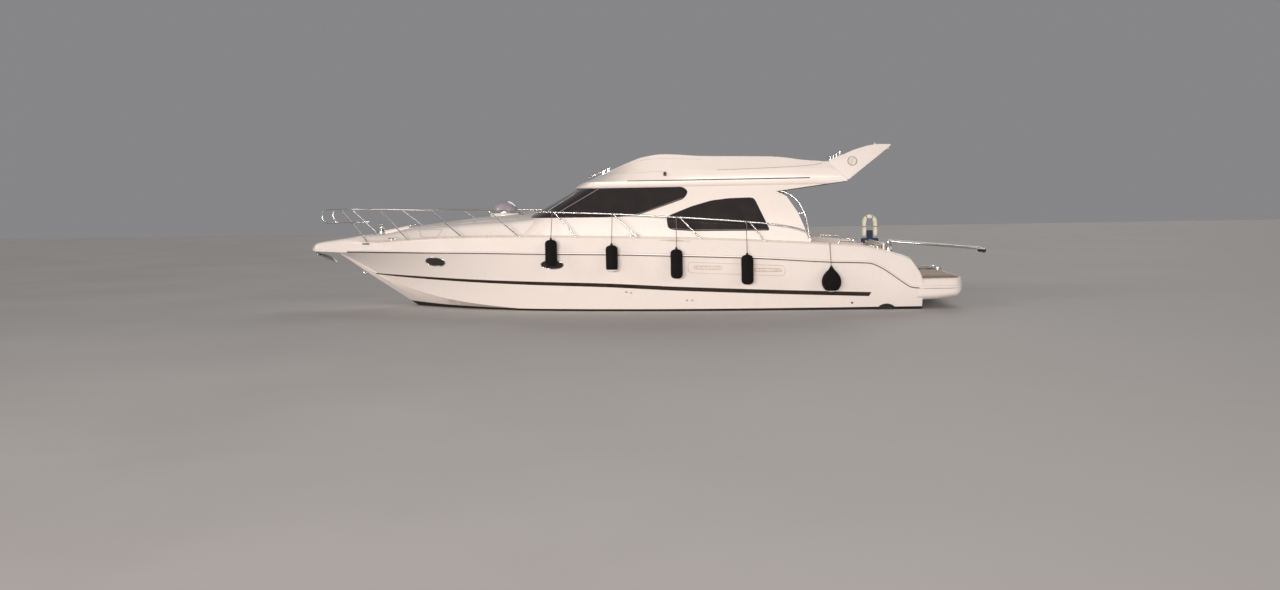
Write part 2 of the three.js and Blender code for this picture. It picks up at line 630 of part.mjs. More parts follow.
// A helm console whose face lies against the back of the wheel's hub
function consoleSolid([x, , z], { below, above, back, top, floor, y0: from, y1: to }) {
  const at = (distance) => [
    x - WHEEL_AXIS[0] * (HUB_BACK + GAP) + WHEEL_AXIS[2] * distance,
    z - WHEEL_AXIS[2] * (HUB_BACK + GAP) - WHEEL_AXIS[0] * distance,
  ];
  const knee = at(-below);
  return sideways([[knee[0], floor], [back, floor], [back, top], at(above), knee], from, to);
}
addPiece('lower_helm', consoleSolid(LOWER_WHEEL, { below: 215, above: 130, back: 1140, top: 1690,
  floor: SOLE_Z + GAP, y0: -1300, y1: -500 }), 'dark');

// Flybridge moulding
const [flyShoulderY, flyShoulderZ, flyTopY, flyTopZ] = curvesThrough(FLY_ROWS);
const flyOuter = loft(stations(FLY_ROWS, 400).map((x) => {
  const low = cabinHalfWidth(x, FLY_NOSE);
  const [sy, sz, ty, tz] = [flyShoulderY(x), flyShoulderZ(x), flyTopY(x), flyTopZ(x)];
  const half = [[low, ROOF_Z + GAP], [(low + sy) / 2 + 4, (ROOF_Z + sz) / 2], [sy, sz], [ty + 8, tz - 14], [ty, tz]];
  return bothSides(x, half, null, tz);
}));
const wellOutline = [[-4600, -1235], [-1500, -1225], [-1180, -1120], [-1060, -900], [-1020, -500], [-1020, 500],
  [-1060, 900], [-1180, 1120], [-1500, 1225], [-4600, 1235]];
const fly = cut(flyOuter, upwards(wellOutline, FLY_FLOOR_Z, 3200), LADDER_HOLE, sideways(ARCH_JOINT, -2000, 2000));
addPiece('flybridge', fly, 'gelcoat');

// Radar arch: two swept wings and a cross beam
const WING = [[-4040, 2785], [-4300, 2848], [-4530, 2952], [-4800, 3042], [-4940, 3080], [-5240, 3070],
  [-5000, 2880], [-4820, 2740], [-4600, 2570], [-4400, 2412]];
const wingLean = new THREE.Matrix4().set(1, 0, 0, 0, 0, 1, -0.24, 0.24 * ROOF_Z, 0, 0, 1, 0, 0, 0, 0, 1);
const wing = indexed(sideways(WING, 1330, 1480).applyMatrix4(wingLean));
const beam = box(-5200, -4930, -1250, 1250, 2990, 3082);
const aheadOfArch = [[-4034.6, 2790], [-4504.6, 2300], [-3000, 2300], [-3000, 3200], [-4034.6, 3200]];
const archSolid = cut(union(wing, mirrored(wing), beam), sideways(aheadOfArch, -2000, 2000));
addPiece('radar_arch', archSolid, 'gelcoat');

// Flybridge fittings
addPiece('fly_console', consoleSolid(UPPER_WHEEL, { below: 175, above: 90, back: -1210, top: 2860,
  floor: FLY_FLOOR_Z + GAP, y0: -1000, y1: -300 }), 'gelcoat');
addPiece('fly_wheel', wheelSolid(UPPER_WHEEL, WHEEL_AXIS, 160), 'dark');
addPiece('fly_helm_seat', union(box(-2550, -2120, -1150, -300, FLY_FLOOR_Z + GAP, 2760),
  sideways([[-2550, 2740], [-2460, 2740], [-2520, 2945], [-2590, 2945]], -1150, -300)), 'cushion');
addPiece('fly_settee', union(box(-3600, -1530, 620, 1195, FLY_FLOOR_Z + GAP, 2740),
  box(-3600, -3050, 20, 1195, FLY_FLOOR_Z + GAP, 2740)), 'cushion');
// Ladder from the cockpit to the flybridge, carrying on into the rail across its after end
const LADDER = { foot: [-3560, 602], head: [-3130, 3000], y0: -1120, y1: -680 };
const ladderSides = [LADDER.y0, LADDER.y1].map((y) => bar(
  [[LADDER.foot[0], y, LADDER.foot[1]], [LADDER.head[0], y, LADDER.head[1]]], 17,
));
const treads = Array.from({ length: 7 }, (_, i) => {
  const t = (i + 1) / 9;
  const x = LADDER.foot[0] + (LADDER.head[0] - LADDER.foot[0]) * t;
  const z = LADDER.foot[1] + (LADDER.head[1] - LADDER.foot[1]) * t;
  return box(x - 60, x + 40, LADDER.y0, LADDER.y1, z - 15, z + 15);
});
addPiece('fly_ladder', cut(union(...ladderSides, ...treads), box(-4000, -3000, -1500, 0, 500, SOLE_Z + GAP)), 'steel');
const aftRail = union(
  bar([[-4290, 1190, 2500], [-4290, 1190, 2900], [-4290, 1110, 2960], [-4290, 0, 2960], [-4290, -1110, 2960],
    [-4290, -1190, 2900], [-4290, -1190, 2500]], 16, { steps: 18 }),
  bar([[-4290, 0, 2500], [-4290, 0, 2960]], 14), bar([[-4290, -600, 2500], [-4290, -600, 2960]], 14),
  bar([[-4290, 600, 2500], [-4290, 600, 2960]], 14), bar([[-4290, -1190, 2740], [-4290, 1190, 2740]], 12));
addPiece('fly_aft_rail', cut(aftRail, box(-4600, -4000, -2000, 2000, 2000, FLY_FLOOR_Z + GAP)), 'steel');

// Cockpit bench and transom gate
addPiece('cockpit_bench', union(box(-5070, -4520, -430, 1480, SOLE_Z + GAP, 1020),
  box(-5070, -4950, -430, 1480, 1000, 1240)), 'cushion');
addPiece('transom_gate', union(
  box(GATE.x - GATE.r, GATE.x + GATE.r, GATE.y0 + GATE.hinge, GATE.y1 - 6, SOLE_Z + 20, 1000),
  disc([GATE.x, GATE.y0 + GATE.hinge, SOLE_Z + 20], [0, 0, 1], GATE.r, 380, 16),
), 'gelcoat');

// Guard rails, one each side: rail, raked stanchions, toe rail and cleats in one piece.
// Rows are x, half-width and height of the top rail, stern to bow.
const RAIL_ROWS = [
  [-3680, 1838, 1300], [-3600, 1838, 1455], [-3190, 1855, 1580], [-2550, 1870, 1662], [-1190, 1885, 1772],
  [20, 1865, 1852], [1160, 1790, 1902], [2430, 1600, 1950], [3670, 1255, 1975], [4890, 715, 2012],
  [5730, 350, 2022], [6110, 318, 2022],
];
// Foot and head of each stanchion: foot x, head x.
const STANCHIONS = [[-2840, -2550], [-1650, -1250], [-470, 0], [700, 1140], [1810, 2430], [2960, 3670],
  [4170, 4890], [5180, 5830]];
const CLEAT_X = [-4850, -350, 4560];
const [railY, railZ] = curvesThrough(RAIL_ROWS);

function toeStrip(extra = 0) {
  const half = 11 + extra;
  return loft(stations([[-5000], [5300]], 600).map((x) => {
    const [y, z] = [edgeY(x) - 30, edgeZ(x)];
    return [[y - half, z - 12], [y + half, z - 12], [y + half, z + 26], [y - half, z + 26]]
      .map(([v, w]) => new THREE.Vector3(x, v, w));
  }));
}

function cleat(x) {
  const [y, z] = [edgeY(x) - 62, edgeZ(x) + 6];
  const feet = [-55, 55].map((shift) => box(x + shift - 16, x + shift + 16, y - 18, y + 40, z - 30, z + 46));
  return [...feet, box(x - 135, x + 135, y - 16, y + 16, z + 44, z + 66)];
}

function railTube(radius) {
  const top = RAIL_ROWS.map(([x, y, z]) => [x, y, z]);
  const loop = [[6215, 310, 1965], [6232, 306, 1880], [6190, 306, 1780], [6110, 312, 1735], [5980, 325, 1735],
    [5480, 420, 1750]];
  return bar([...top, ...loop], radius, { steps: 52 });
}

function guardRail() {
  const posts = STANCHIONS.map(([foot, head]) => bar(
    [[foot, edgeY(foot) - 34, edgeZ(foot) - 20], [head, railY(head), railZ(head)]], STANCHION_R,
  ));
  return union(railTube(RAIL_R), ...posts, toeStrip(), ...CLEAT_X.flatMap(cleat));
}

const deckRaised = moved(union(deckSolid, ...deckFrames), 0, 0, GAP);
addPiece('guard_rail_port', cut(guardRail(), deckRaised), 'steel');
addPiece('guard_rail_starboard', cut(mirrored(guardRail()), deckRaised), 'steel');

// Foredeck gear
const domeProfile = [[0, 2145], [HATCH_R - 190, 2134], [HATCH_R - 120, 2108], [HATCH_R - 55, 2050],
  [HATCH_R - 18, 1980], [HATCH_R - 10, 1924], [HATCH_R + 15, 1922], [HATCH_R + 15, 1890 + GAP],
  [HATCH_R - 40, 1890 + GAP], [HATCH_R - 45, 1975], [HATCH_R - 85, 2035], [HATCH_R - 145, 2088], [0, 2120]];
addPiece('skylight_hatch', turned(domeProfile, 20).translate(HATCH_X, 0, 0), 'glass');
addPiece('anchor_locker_lid', lockerSlab(GAP, LOCKER.lid), 'gelcoat');

// Windlass: gearbox on the foredeck and the drum that turns on it
const WINDLASS = { x: 5080, z: 1470 };
const windlass = cut(turned([[0, WINDLASS.z], [95, WINDLASS.z], [95, 1560], [70, 1590], [0, 1590]], 20)
  .translate(WINDLASS.x, 0, 0), deckRaised);
addPiece('windlass', windlass, 'steel');
addPiece('windlass_drum', turned([[0, 1590 + GAP], [78, 1590 + GAP], [78, 1604], [48, 1625], [48, 1668], [72, 1690],
  [72, 1700], [0, 1712]], 20).translate(WINDLASS.x, 0, 0), 'steel');

// Bow roller in its slot, and the anchor stowed on it
const roller = union(
  ...[-SLOT_Y, SLOT_Y - 8].map((y) => sideways([[6110, 1232], [6390, 1232], [6400, 1180], [6480, 1180],
    [6500, 1240], [6480, 1300], [6110, 1352]], y, y + 8)),
  box(6110, 6390, -SLOT_Y, SLOT_Y, 1232, 1240),
  disc([6440, -SLOT_Y, 1212], [0, 1, 0], 28, 2 * SLOT_Y, 14),
);
addPiece('bow_roller', roller, 'steel');
const shank = sideways([[6440, 1100], [6480, 1075], [6512, 1150], [6500, 1232], [6440, 1272], [6130, 1284],
  [6130, 1256], [6420, 1240.1], [6452, 1240.1], [6474, 1224], [6480, 1160]], -12, 12);
const plough = loft([[6490, 26, 1108, 1092, 1076], [6370, 150, 1106, 1078, 1030], [6220, 120, 1060, 1020, 965],
  [6030, 8, 905, 898, 888]].map(([x, y, top, side, low]) => (
  [[0, low], [y, side], [0, top], [-y, side]].map(([v, w]) => new THREE.Vector3(x, v, w))
)));
addPiece('anchor', union(shank, plough), 'steel');

// Height on the topsides to half-width
function topsideY(x, z) {
  const t = (z - chineZ(x)) / (jointZ(x) - chineZ(x));
  return chineY(x) + (jointY(x) - chineY(x)) * t + fullness(x) * 4 * t * (1 - t);
}

// Fenders hung over the side. Rows are x, top of the body, length, radius.
const FENDERS = [[1175, 1390, 510, 112], [25, 1275, 490, 112], [-1180, 1185, 545, 112], [-2480, 1065, 550, 112]];
const BALL_FENDER = [-4010, 845, 480, 178];
const LANYARD_R = 6;
const cylinderProfile = (length, r) => [[0, 0], [r * 0.7, 14], [r, 70], [r, length - 70], [r * 0.7, length - 14],
  [22, length], [22, length + 38], [0, length + 38]];
const ballProfile = (length, r) => [[0, 0], [r * 0.6, 28], [r * 0.93, 105], [r, 180], [r * 0.93, 250],
  [r * 0.7, 330], [r * 0.4, 405], [22, 450], [22, length], [0, length]];
const railWithGap = railTube(RAIL_R + GAP);
const toeWithGap = toeStrip(GAP);

function longFender([x, top, length, r]) {
  const y = jointY(x) + STRAKE_PROUD + r + GAP;
  const body = turned(cylinderProfile(length, r), 14).translate(x, y, top - length);
  const eye = [x, railY(x), railZ(x)];
  const ring = indexed(new THREE.TorusGeometry(RAIL_R + LANYARD_R, LANYARD_R, 5, 10).rotateY(Math.PI / 2)
    .translate(...eye));
  const rope = bar([[x, y, top + 20], [x, eye[1] + RAIL_R, eye[2] - RAIL_R]], LANYARD_R, { sides: 5 });
  return cut(union(body, rope, ring), railWithGap);
}

function ballFender([x, top, length, r]) {
  const y = topsideY(x, top - length + 180) + r + 1;
  const body = turned(ballProfile(length, r), 14).translate(x, y, top - length);
  const [edge, deckTop] = [edgeY(x), edgeZ(x)];
  const rope = bar([[x, y, top - 20], [x, edge + 40, deckTop - 90], [x, edge + 16, deckTop - 4],
    [x, edge + 4, deckTop + 15], [x, edge - 12, deckTop + 17]], LANYARD_R, { sides: 5, steps: 10 });
  return cut(union(body, rope), deckRaised, toeWithGap);
}

const fenders = [...FENDERS.map(longFender), ballFender(BALL_FENDER)];
fenders.forEach((solid, i) => {
  addPiece(`fender_port_${i + 1}`, solid, 'rubber');
  addPiece(`fender_starboard_${i + 1}`, mirrored(solid), 'rubber');
});

// Bathing platform: teak, folding ladder, passerelle
const teak = [[-6425, -1450], [-6380, -1560], [-5735, -1600], [-5735, 1600], [-6380, 1560], [-6425, 1450]];
addPiece('platform_teak', upwards(teak, PLATFORM_Z + GAP, PLATFORM_Z + 12), 'teak');
const { x: ladderX, z: ladderZ, y0, y1, length: ladderLength, tube } = LADDER_SWIM;
const swimLadder = union(
  ...[y0, y1].map((y) => bar([[ladderX, y, ladderZ], [ladderX + ladderLength, y, ladderZ]], tube)),
  ...[y0, y1].map((y) => disc([ladderX, y - 17.7, ladderZ], [0, 1, 0], 16, 35.4, 12)),
  ...[0.3, 0.62, 0.95].map((t) => box(ladderX + ladderLength * t - 28, ladderX + ladderLength * t + 28, y0, y1,
    ladderZ - 10, ladderZ + 10)),
);
addPiece('swim_ladder', swimLadder, 'steel');

const PASSERELLE = { x: -5270, z: 1200, y: 640, halfY: 200, length: 1800, tilt: 5.5 };
const base = union(box(-5330, -5210, 560, 720, 900, 1150), box(-5300, -5240, 600, 680, 1140, 1170));
addPiece('passerelle_base', cut(base, moved(deckSolid, 0, 0, GAP)), 'steel');
const gangway = union(
  ...[-1, 1].map((side) => bar([[-20, side * PASSERELLE.halfY, 25], [-PASSERELLE.length, side * PASSERELLE.halfY, 25]],
    22)),
  box(-PASSERELLE.length, -60, -PASSERELLE.halfY, PASSERELLE.halfY, 12, 34),
  box(-90, 0, -60, 60, -6, 34),
  disc([0, -60, 0], [0, 1, 0], 29.7, 120, 16),
  ...[-1, 1].map((side) => disc([-PASSERELLE.length + 10, side * 150 - 20, -8], [0, 1, 0], 45, 40, 14)),
).rotateY(THREE.MathUtils.degToRad(-PASSERELLE.tilt)).translate(PASSERELLE.x, PASSERELLE.y, PASSERELLE.z);
addPiece('passerelle', gangway, 'steel');

// Horseshoe lifebuoy on the starboard quarter
const BUOY = { x: -5235, y: -1745, z: 1330, halfX: 118, r: 48 };
const horseshoe = bar([[BUOY.x - BUOY.halfX, BUOY.y, 1250], [BUOY.x - BUOY.halfX, BUOY.y, 1540],
  [BUOY.x - 84, BUOY.y, 1632], [BUOY.x, BUOY.y, 1665], [BUOY.x + 84, BUOY.y, 1632],
  [BUOY.x + BUOY.halfX, BUOY.y, 1540], [BUOY.x + BUOY.halfX, BUOY.y, 1250]], BUOY.r, { sides: 8, steps: 14 });
const holder = box(BUOY.x - 185, BUOY.x + 185, BUOY.y - 55, BUOY.y + 45, 900, 1300);
addPiece('lifebuoy', cut(union(horseshoe, holder), moved(deckSolid, 0, 0, GAP)), 'cream');

// Propellers with their shafts, rudders and trim tabs
// Blade sections: radius, chord, pitch angle, thickness
const BLADE_ROWS = [[40, 105, 62, 17], [110, 170, 46, 14], [190, 195, 32, 11], [245, 130, 26, 9], [268, 50, 24, 7]];
const BLADE_EDGE = 2.2;
const [chordAt, pitchAt, thickAt] = curvesThrough(BLADE_ROWS);

function propeller(turn) {
  const blade = loft(stations(BLADE_ROWS, 26).map((radius) => {
    const pitch = THREE.MathUtils.degToRad(pitchAt(radius));
    const [dx, dy] = [Math.sin(pitch), Math.cos(pitch)];
    const at = (u, v) => new THREE.Vector3(u * dx - v * dy, u * dy + v * dx, radius);
    const [chord, thick] = [chordAt(radius) / 2, thickAt(radius) / 2];
    return [at(-chord, BLADE_EDGE), at(-chord, -BLADE_EDGE), at(0, -thick), at(chord, -BLADE_EDGE),
      at(chord, BLADE_EDGE), at(0, thick)];
  }));
  const blades = [15, 105, 195, 285].map((angle) => blade.clone().rotateX(THREE.MathUtils.degToRad(angle)));
  const hub = turned([[0, -70], [52, -70], [56, 0], [48, 60], [30, 70], [26, 115], [0, 125]], 12).rotateY(Math.PI / 2);
  const shaft = disc([0, 0, 0], [-1, 0, 0], SHAFT_R, SHAFT_LENGTH - GAP, 10);
  const aft = new THREE.Quaternion().setFromUnitVectors(AXIS.x, new THREE.Vector3(...SHAFT_AXIS));
  return union(hub, shaft, ...blades).rotateX(turn).applyQuaternion(aft).translate(PROP.x, SHAFT_Y, PROP.z);
}
addPiece('propeller_port', propeller(0.1), 'bronze');
addPiece('propeller_starboard', mirrored(propeller(0.7)), 'bronze');

const blade = loft([[-950, 80, 235, 18], [-740, 95, 300, 26], [-560, 100, 330, 34]].map(([z, ahead, chord, thick]) => {
  const at = (t, v) => new THREE.Vector3(RUDDER.x + ahead - chord * t, SHAFT_Y + v * thick * 0.5, z);
  return [at(0, 0), at(0.12, 0.75), at(0.35, 1), at(0.75, 0.5), at(1, 0), at(0.75, -0.5), at(0.35, -1), at(0.12, -0.75)];
}));
const stock = disc([RUDDER.x, SHAFT_Y, -575], [0, 0, 1], 20, 575 + RUDDER.top - GAP, 14);
const rudder = union(blade, stock);
addPiece('rudder_port', rudder, 'bronze');
addPiece('rudder_starboard', mirrored(rudder), 'bronze');

const TAB = { y: 1190, z: -224, length: 290, halfY: 260, thick: 12, deadrise: 12.6 };
const tab = box(-TAB.length, 0, -TAB.halfY, TAB.halfY, 0, TAB.thick)
  .rotateX(THREE.MathUtils.degToRad(TAB.deadrise)).translate(TRANSOM_X - GAP, TAB.y, TAB.z);
addPiece('trim_tab_port', tab, 'steel');
addPiece('trim_tab_starboard', mirrored(tab), 'steel');

export default group;
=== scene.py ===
# %% [markdown]
# A flybridge motor yacht, afloat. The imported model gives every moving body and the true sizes. This script
# dresses it: mouldings with soft edges, dark glass, steel rails, covered fenders, teak and upholstery.
# All lengths are metres, +X points to the bow, +Y to port, +Z up, and the water is at z = 0.

# %% Load the frame
import math

import bmesh
import bpy
from mathutils import Matrix, Vector
from mathutils.bvhtree import BVHTree


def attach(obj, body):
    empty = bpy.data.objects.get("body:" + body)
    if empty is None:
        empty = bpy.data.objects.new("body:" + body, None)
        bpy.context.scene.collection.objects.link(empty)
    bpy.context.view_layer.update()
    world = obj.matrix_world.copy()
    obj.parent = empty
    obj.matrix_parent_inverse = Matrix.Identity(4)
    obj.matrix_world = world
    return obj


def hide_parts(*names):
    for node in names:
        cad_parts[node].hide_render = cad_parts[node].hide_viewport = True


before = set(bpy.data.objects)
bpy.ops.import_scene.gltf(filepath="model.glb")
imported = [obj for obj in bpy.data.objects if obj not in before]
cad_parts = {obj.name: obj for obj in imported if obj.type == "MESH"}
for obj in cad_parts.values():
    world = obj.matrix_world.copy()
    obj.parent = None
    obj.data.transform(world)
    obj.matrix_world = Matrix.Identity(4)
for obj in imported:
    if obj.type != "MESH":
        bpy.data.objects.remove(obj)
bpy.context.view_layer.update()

# %% [markdown]
# The camera comes first. It stands about 21 m off the port side at eye level and looks a little aft of
# square, with a slight roll. The lens shift keeps the boat in the upper half of the picture.

# %% Camera
CAMERA_AT = Vector((-2.038, 21.49, 2.05))
CAMERA_YAW = math.radians(4.5)
CAMERA_PITCH = math.radians(1.3)
CAMERA_ROLL = math.radians(1.0)
FOCAL_PX, PICTURE_WIDTH, SENSOR = 1050, 1280, 36.0
SHIFT_PX = -68.2

level = Vector((math.sin(CAMERA_YAW), -math.cos(CAMERA_YAW), 0))
ahead = level * math.cos(CAMERA_PITCH) - Vector((0, 0, math.sin(CAMERA_PITCH)))
right = level.cross(Vector((0, 0, 1)))
above = right.cross(ahead)
rolled_right = right * math.cos(CAMERA_ROLL) - above * math.sin(CAMERA_ROLL)
rolled_up = right * math.sin(CAMERA_ROLL) + above * math.cos(CAMERA_ROLL)

lens = bpy.data.cameras.new("camera")
lens.sensor_width = SENSOR
lens.lens = FOCAL_PX / PICTURE_WIDTH * SENSOR
lens.shift_y = SHIFT_PX / PICTURE_WIDTH
camera = bpy.data.objects.new("camera", lens)
camera.matrix_world = Matrix.Translation(CAMERA_AT) @ Matrix(
    (rolled_right, rolled_up, -ahead)
).transposed().to_4x4()
bpy.context.scene.collection.objects.link(camera)
bpy.context.scene.camera = camera
print("lens", round(lens.lens, 2), "mm")

# %% [markdown]
# Curves first. A boat is drawn as rows of stations, each with a few half-widths and heights. The values
# between two rows follow a monotone cubic, which never bulges past its rows, so a straight run stays
# straight. `soften` rounds the corners of a section, because a moulding has no knife edges: it has to
# come out of its mould, and it catches a line of light along every rounded corner.


# %% Curves through rows
def curve_through(rows, column):
    xs = [row[0] for row in rows]
    ys = [row[column] for row in rows]
    slopes = [(ys[i + 1] - ys[i]) / (xs[i + 1] - xs[i]) for i in range(len(xs) - 1)]
    tangents = []
    for i in range(len(xs)):
        before, after = slopes[max(i - 1, 0)], slopes[min(i, len(slopes) - 1)]
        tangents.append(0 if before * after <= 0 else 2 * before * after / (before + after))

    def value(x):
        x = min(max(x, xs[0]), xs[-1])
        i = next((k for k in range(len(xs) - 1) if x <= xs[k + 1]), len(xs) - 2)
        width = xs[i + 1] - xs[i]
        t = (x - xs[i]) / width
        rise = (1 + 2 * t) * (1 - t) ** 2 * ys[i] + t * (1 - t) ** 2 * width * tangents[i]
        return rise + t * t * (3 - 2 * t) * ys[i + 1] + t * t * (t - 1) * width * tangents[i + 1]

    return value


def curves_through(rows):
    return [curve_through(rows, column) for column in range(1, len(rows[0]))]


def stations(rows, longest):
    """Every row's x, with the long stretches between them divided evenly."""
    xs = [rows[0][0]]
    for row in rows[1:]:
        start = xs[-1]
        parts = max(1, round((row[0] - start) / longest))
        xs += [start + (row[0] - start) * (i + 1) / parts for i in range(parts)]
    return xs


def corner_arc(before, corner, after, radius, reach, steps):
    """Points round a corner of about this radius, which takes up no more than a share of either side."""
    start, end = (
        corner + (near - corner) * min(reach, radius / max((near - corner).length, 1e-9)) for near in (before, after)
    )
    shares = [k / steps for k in range(steps + 1)]
    return [start * (1 - t) ** 2 + corner * 2 * t * (1 - t) + end * t * t for t in shares]


def soften(points, radii, steps=4):
    """The same open polyline with each inner corner rounded."""
    points = [Vector(p) for p in points]
    out = points[:1]
    for before, corner, after, radius in zip(points, points[1:], points[2:], radii):
        out += corner_arc(before, corner, after, radius, 0.45, steps) if radius else [corner]
    return out + points[-1:]


def rounded(outline, radius):
    """The same closed outline with each corner rounded."""
    points = [Vector(p) for p in outline]
    corners = zip(points[-1:] + points, points, points[1:] + points[:1])
    return [p for before, corner, after in corners for p in corner_arc(before, corner, after, radius, 0.48, 5)]


def smooth_path(points, per_span=6):
    """A Catmull-Rom curve through points."""
    pts = [Vector(p) for p in points]
    out = []
    for a, b, c, d in zip(pts[:1] + pts, pts, pts[1:], pts[2:] + pts[-1:]):
        for t in (k / per_span for k in range(per_span)):
            out.append(
                0.5 * (2 * b + (c - a) * t + (2 * a - 5 * b + 4 * c - d) * t**2 + (3 * b - a - 3 * c + d) * t**3)
            )
    return out + pts[-1:]


def angles(count):
    return [2 * math.pi * k / count for k in range(count)]


# %% [markdown]
# Shapes are gathered in a small class: lofts through rings, tubes along paths, turned profiles and boxes
# with rounded edges all add to one list of vertices and faces, and `piece` turns the list into an object
# with its finish, riding on its body. Edges sharper than an angle stay crisp and the rest are smooth.


# %% Shape and piece
WELD, DEGENERATE = 1e-5, 1e-6
SIDES = (("port", 1), ("starboard", -1))


class Shape:
    def __init__(self):
        self.verts, self.faces = [], []

    def add(self, verts, faces):
        start = len(self.verts)
        self.verts += [Vector(v) for v in verts]
        self.faces += [tuple(i + start for i in face) for face in faces]
        return self

    def loft(self, rings, caps=True):
        """A skin over rings of equally many points, with both ends closed by fans."""
        n, count = len(rings[0]), len(rings)
        faces = [
            (r * n + i, r * n + (i + 1) % n, (r + 1) * n + (i + 1) % n, (r + 1) * n + i)
            for r in range(count - 1)
            for i in range(n)
        ]
        verts = [v for ring in rings for v in ring]
        for r, turn in ((0, -1), (count - 1, 1)) if caps else ():
            verts.append(sum((Vector(v) for v in rings[r]), Vector()) / n)
            faces += [(len(verts) - 1, r * n + i, r * n + (i + 1) % n)[::turn] for i in range(n)]
        return self.add(verts, faces)

    def tube(self, path, radius, sides=10, closed=False):
        """A round tube along a path. A list of radii gives each point its own."""
        path = [Vector(p) for p in path]
        befores, afters = (path[-1:], path[:1]) if closed else (path[:1], path[-1:])
        radii = radius if isinstance(radius, list) else [radius] * len(path)
        normal, rings = None, []
        for before, point, after, r in zip(befores + path, path, path[1:] + afters, radii):
            along = (after - before).normalized()
            normal = normal or along.orthogonal().normalized()
            normal = (normal - along * normal.dot(along)).normalized()
            side = along.cross(normal)
            rings.append([point + (normal * math.cos(a) + side * math.sin(a)) * r for a in angles(sides)])
        return self.loft(rings + rings[:1], caps=False) if closed else self.loft(rings)

    def lathe(self, profile, centre, axis=(0, 0, 1), sides=32):
        """A profile of radii and heights, turned round an axis. Its ends are closed unless it is a loop."""
        turn = Vector(axis).to_track_quat("Z", "Y")
        rings = [
            [Vector(centre) + turn @ Vector((r * math.cos(a), r * math.sin(a), h)) for a in angles(sides)]
            for r, h in profile
        ]
        return self.loft(rings, caps=profile[0] != profile[-1])

    def box(self, low, high):
        (x0, y0, z0), (x1, y1, z1) = low, high
        return self.upwards([(x0, y0), (x1, y0), (x1, y1), (x0, y1)], z0, z1)

    def lengthways(self, outline, x0, x1):
        return self.loft([[(x, y, z) for y, z in outline] for x in (x0, x1)])

    def sideways(self, outline, y0, y1):
        return self.loft([[(x, y, z) for x, z in outline] for y in (y0, y1)])

    def upwards(self, outline, z0, z1):
        return self.loft([[(x, y, z) for x, y in outline] for z in (z0, z1)])

    def join(self, other):
        return self.add(other.verts, other.faces)

    def moved(self, matrix):
        self.verts = [matrix @ v for v in self.verts]
        return self

    def mirrored(self):
        return Shape().add([Vector((v.x, -v.y, v.z)) for v in self.verts], [f[::-1] for f in self.faces])

    def on(self, side):
        return self if side > 0 else self.mirrored()


def rod(radius, low, high):
    return [(radius, low), (radius, high)]


def raw_object(name, shape):
    bm = bmesh.new()
    verts = [bm.verts.new(v) for v in shape.verts]
    for face in shape.faces:
        corners = [verts[i] for i in face]
        if len(set(face)) == len(face) and not bm.faces.get(corners):
            bm.faces.new(corners)
    bmesh.ops.remove_doubles(bm, verts=bm.verts, dist=WELD)
    bmesh.ops.dissolve_degenerate(bm, edges=bm.edges, dist=DEGENERATE)
    bmesh.ops.recalc_face_normals(bm, faces=bm.faces)
    mesh = bpy.data.meshes.new(name)
    bm.to_mesh(mesh)
    bm.free()
    obj = bpy.data.objects.new(name, mesh)
    bpy.context.scene.collection.objects.link(obj)
    return obj


def apply_modifiers(obj):
    graph = bpy.context.evaluated_depsgraph_get()
    mesh = bpy.data.meshes.new_from_object(obj.evaluated_get(graph))
    obj.modifiers.clear()
    obj.data = mesh
    return obj


def cut(obj, *cutters, operation="DIFFERENCE"):
    """Cuts shapes from an object, or joins them to it, and keeps the result as its mesh."""
    tools = [raw_object("tool", cutter) for cutter in cutters]
    for tool in tools:
        modifier = obj.modifiers.new("cut", "BOOLEAN")
        modifier.operation, modifier.object, modifier.solver = operation, tool, "MANIFOLD"
    apply_modifiers(obj)
    for tool in tools:
        bpy.data.objects.remove(tool)
    return obj


def bevel(obj, width, segments=2, angle=30):
    modifier = obj.modifiers.new("bevel", "BEVEL")
    modifier.width, modifier.segments = width, segments
    modifier.limit_method, modifier.angle_limit = "ANGLE", math.radians(angle)
    modifier.use_clamp_overlap = True
    return apply_modifiers(obj)


def settle(obj, finish, body="hull", crisp=32, replaces=None):
    """Gives an object its shading, finish and body. Edges sharper than `crisp` degrees stay crisp."""
    bm = bmesh.new()
    bm.from_mesh(obj.data)
    for face in bm.faces:
        face.smooth = True
    for edge in bm.edges:
        edge.smooth = len(edge.link_faces) == 2 and edge.calc_face_angle(0) < math.radians(crisp)
    bm.to_mesh(obj.data)
    bm.free()
    obj.data.materials.clear()
    obj.data.materials.append(finish)
    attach(obj, body)
    if replaces:
        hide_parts(replaces)
    return obj


def piece(name, shape, finish, body="hull", bevelled=0, crisp=32, replaces=None):
    obj = raw_object(name, shape)
    if bevelled:
        bevel(obj, bevelled)
    return settle(obj, finish, body, crisp, replaces)


def both(name, shape, finish, **options):
    """The same shape to port and to starboard, as one piece."""
    return piece(name, shape.join(shape.mirrored()), finish, **options)


# %% [markdown]
# Finishes. Gelcoat is glossy polyester over glass cloth: almost white, a little warm, with the faintest
# clouding and runs of grime below the edges. Three effects are shared by many finishes, so each is a node
# group: clouding, streaks and weave. They only give masks and heights, and each material turns those into
# its own colour, roughness and bump. `Graph` is a thin wrapper round a node tree, and `Finish` is one with a
# shader. Uniform values go straight on the shader's own sockets.


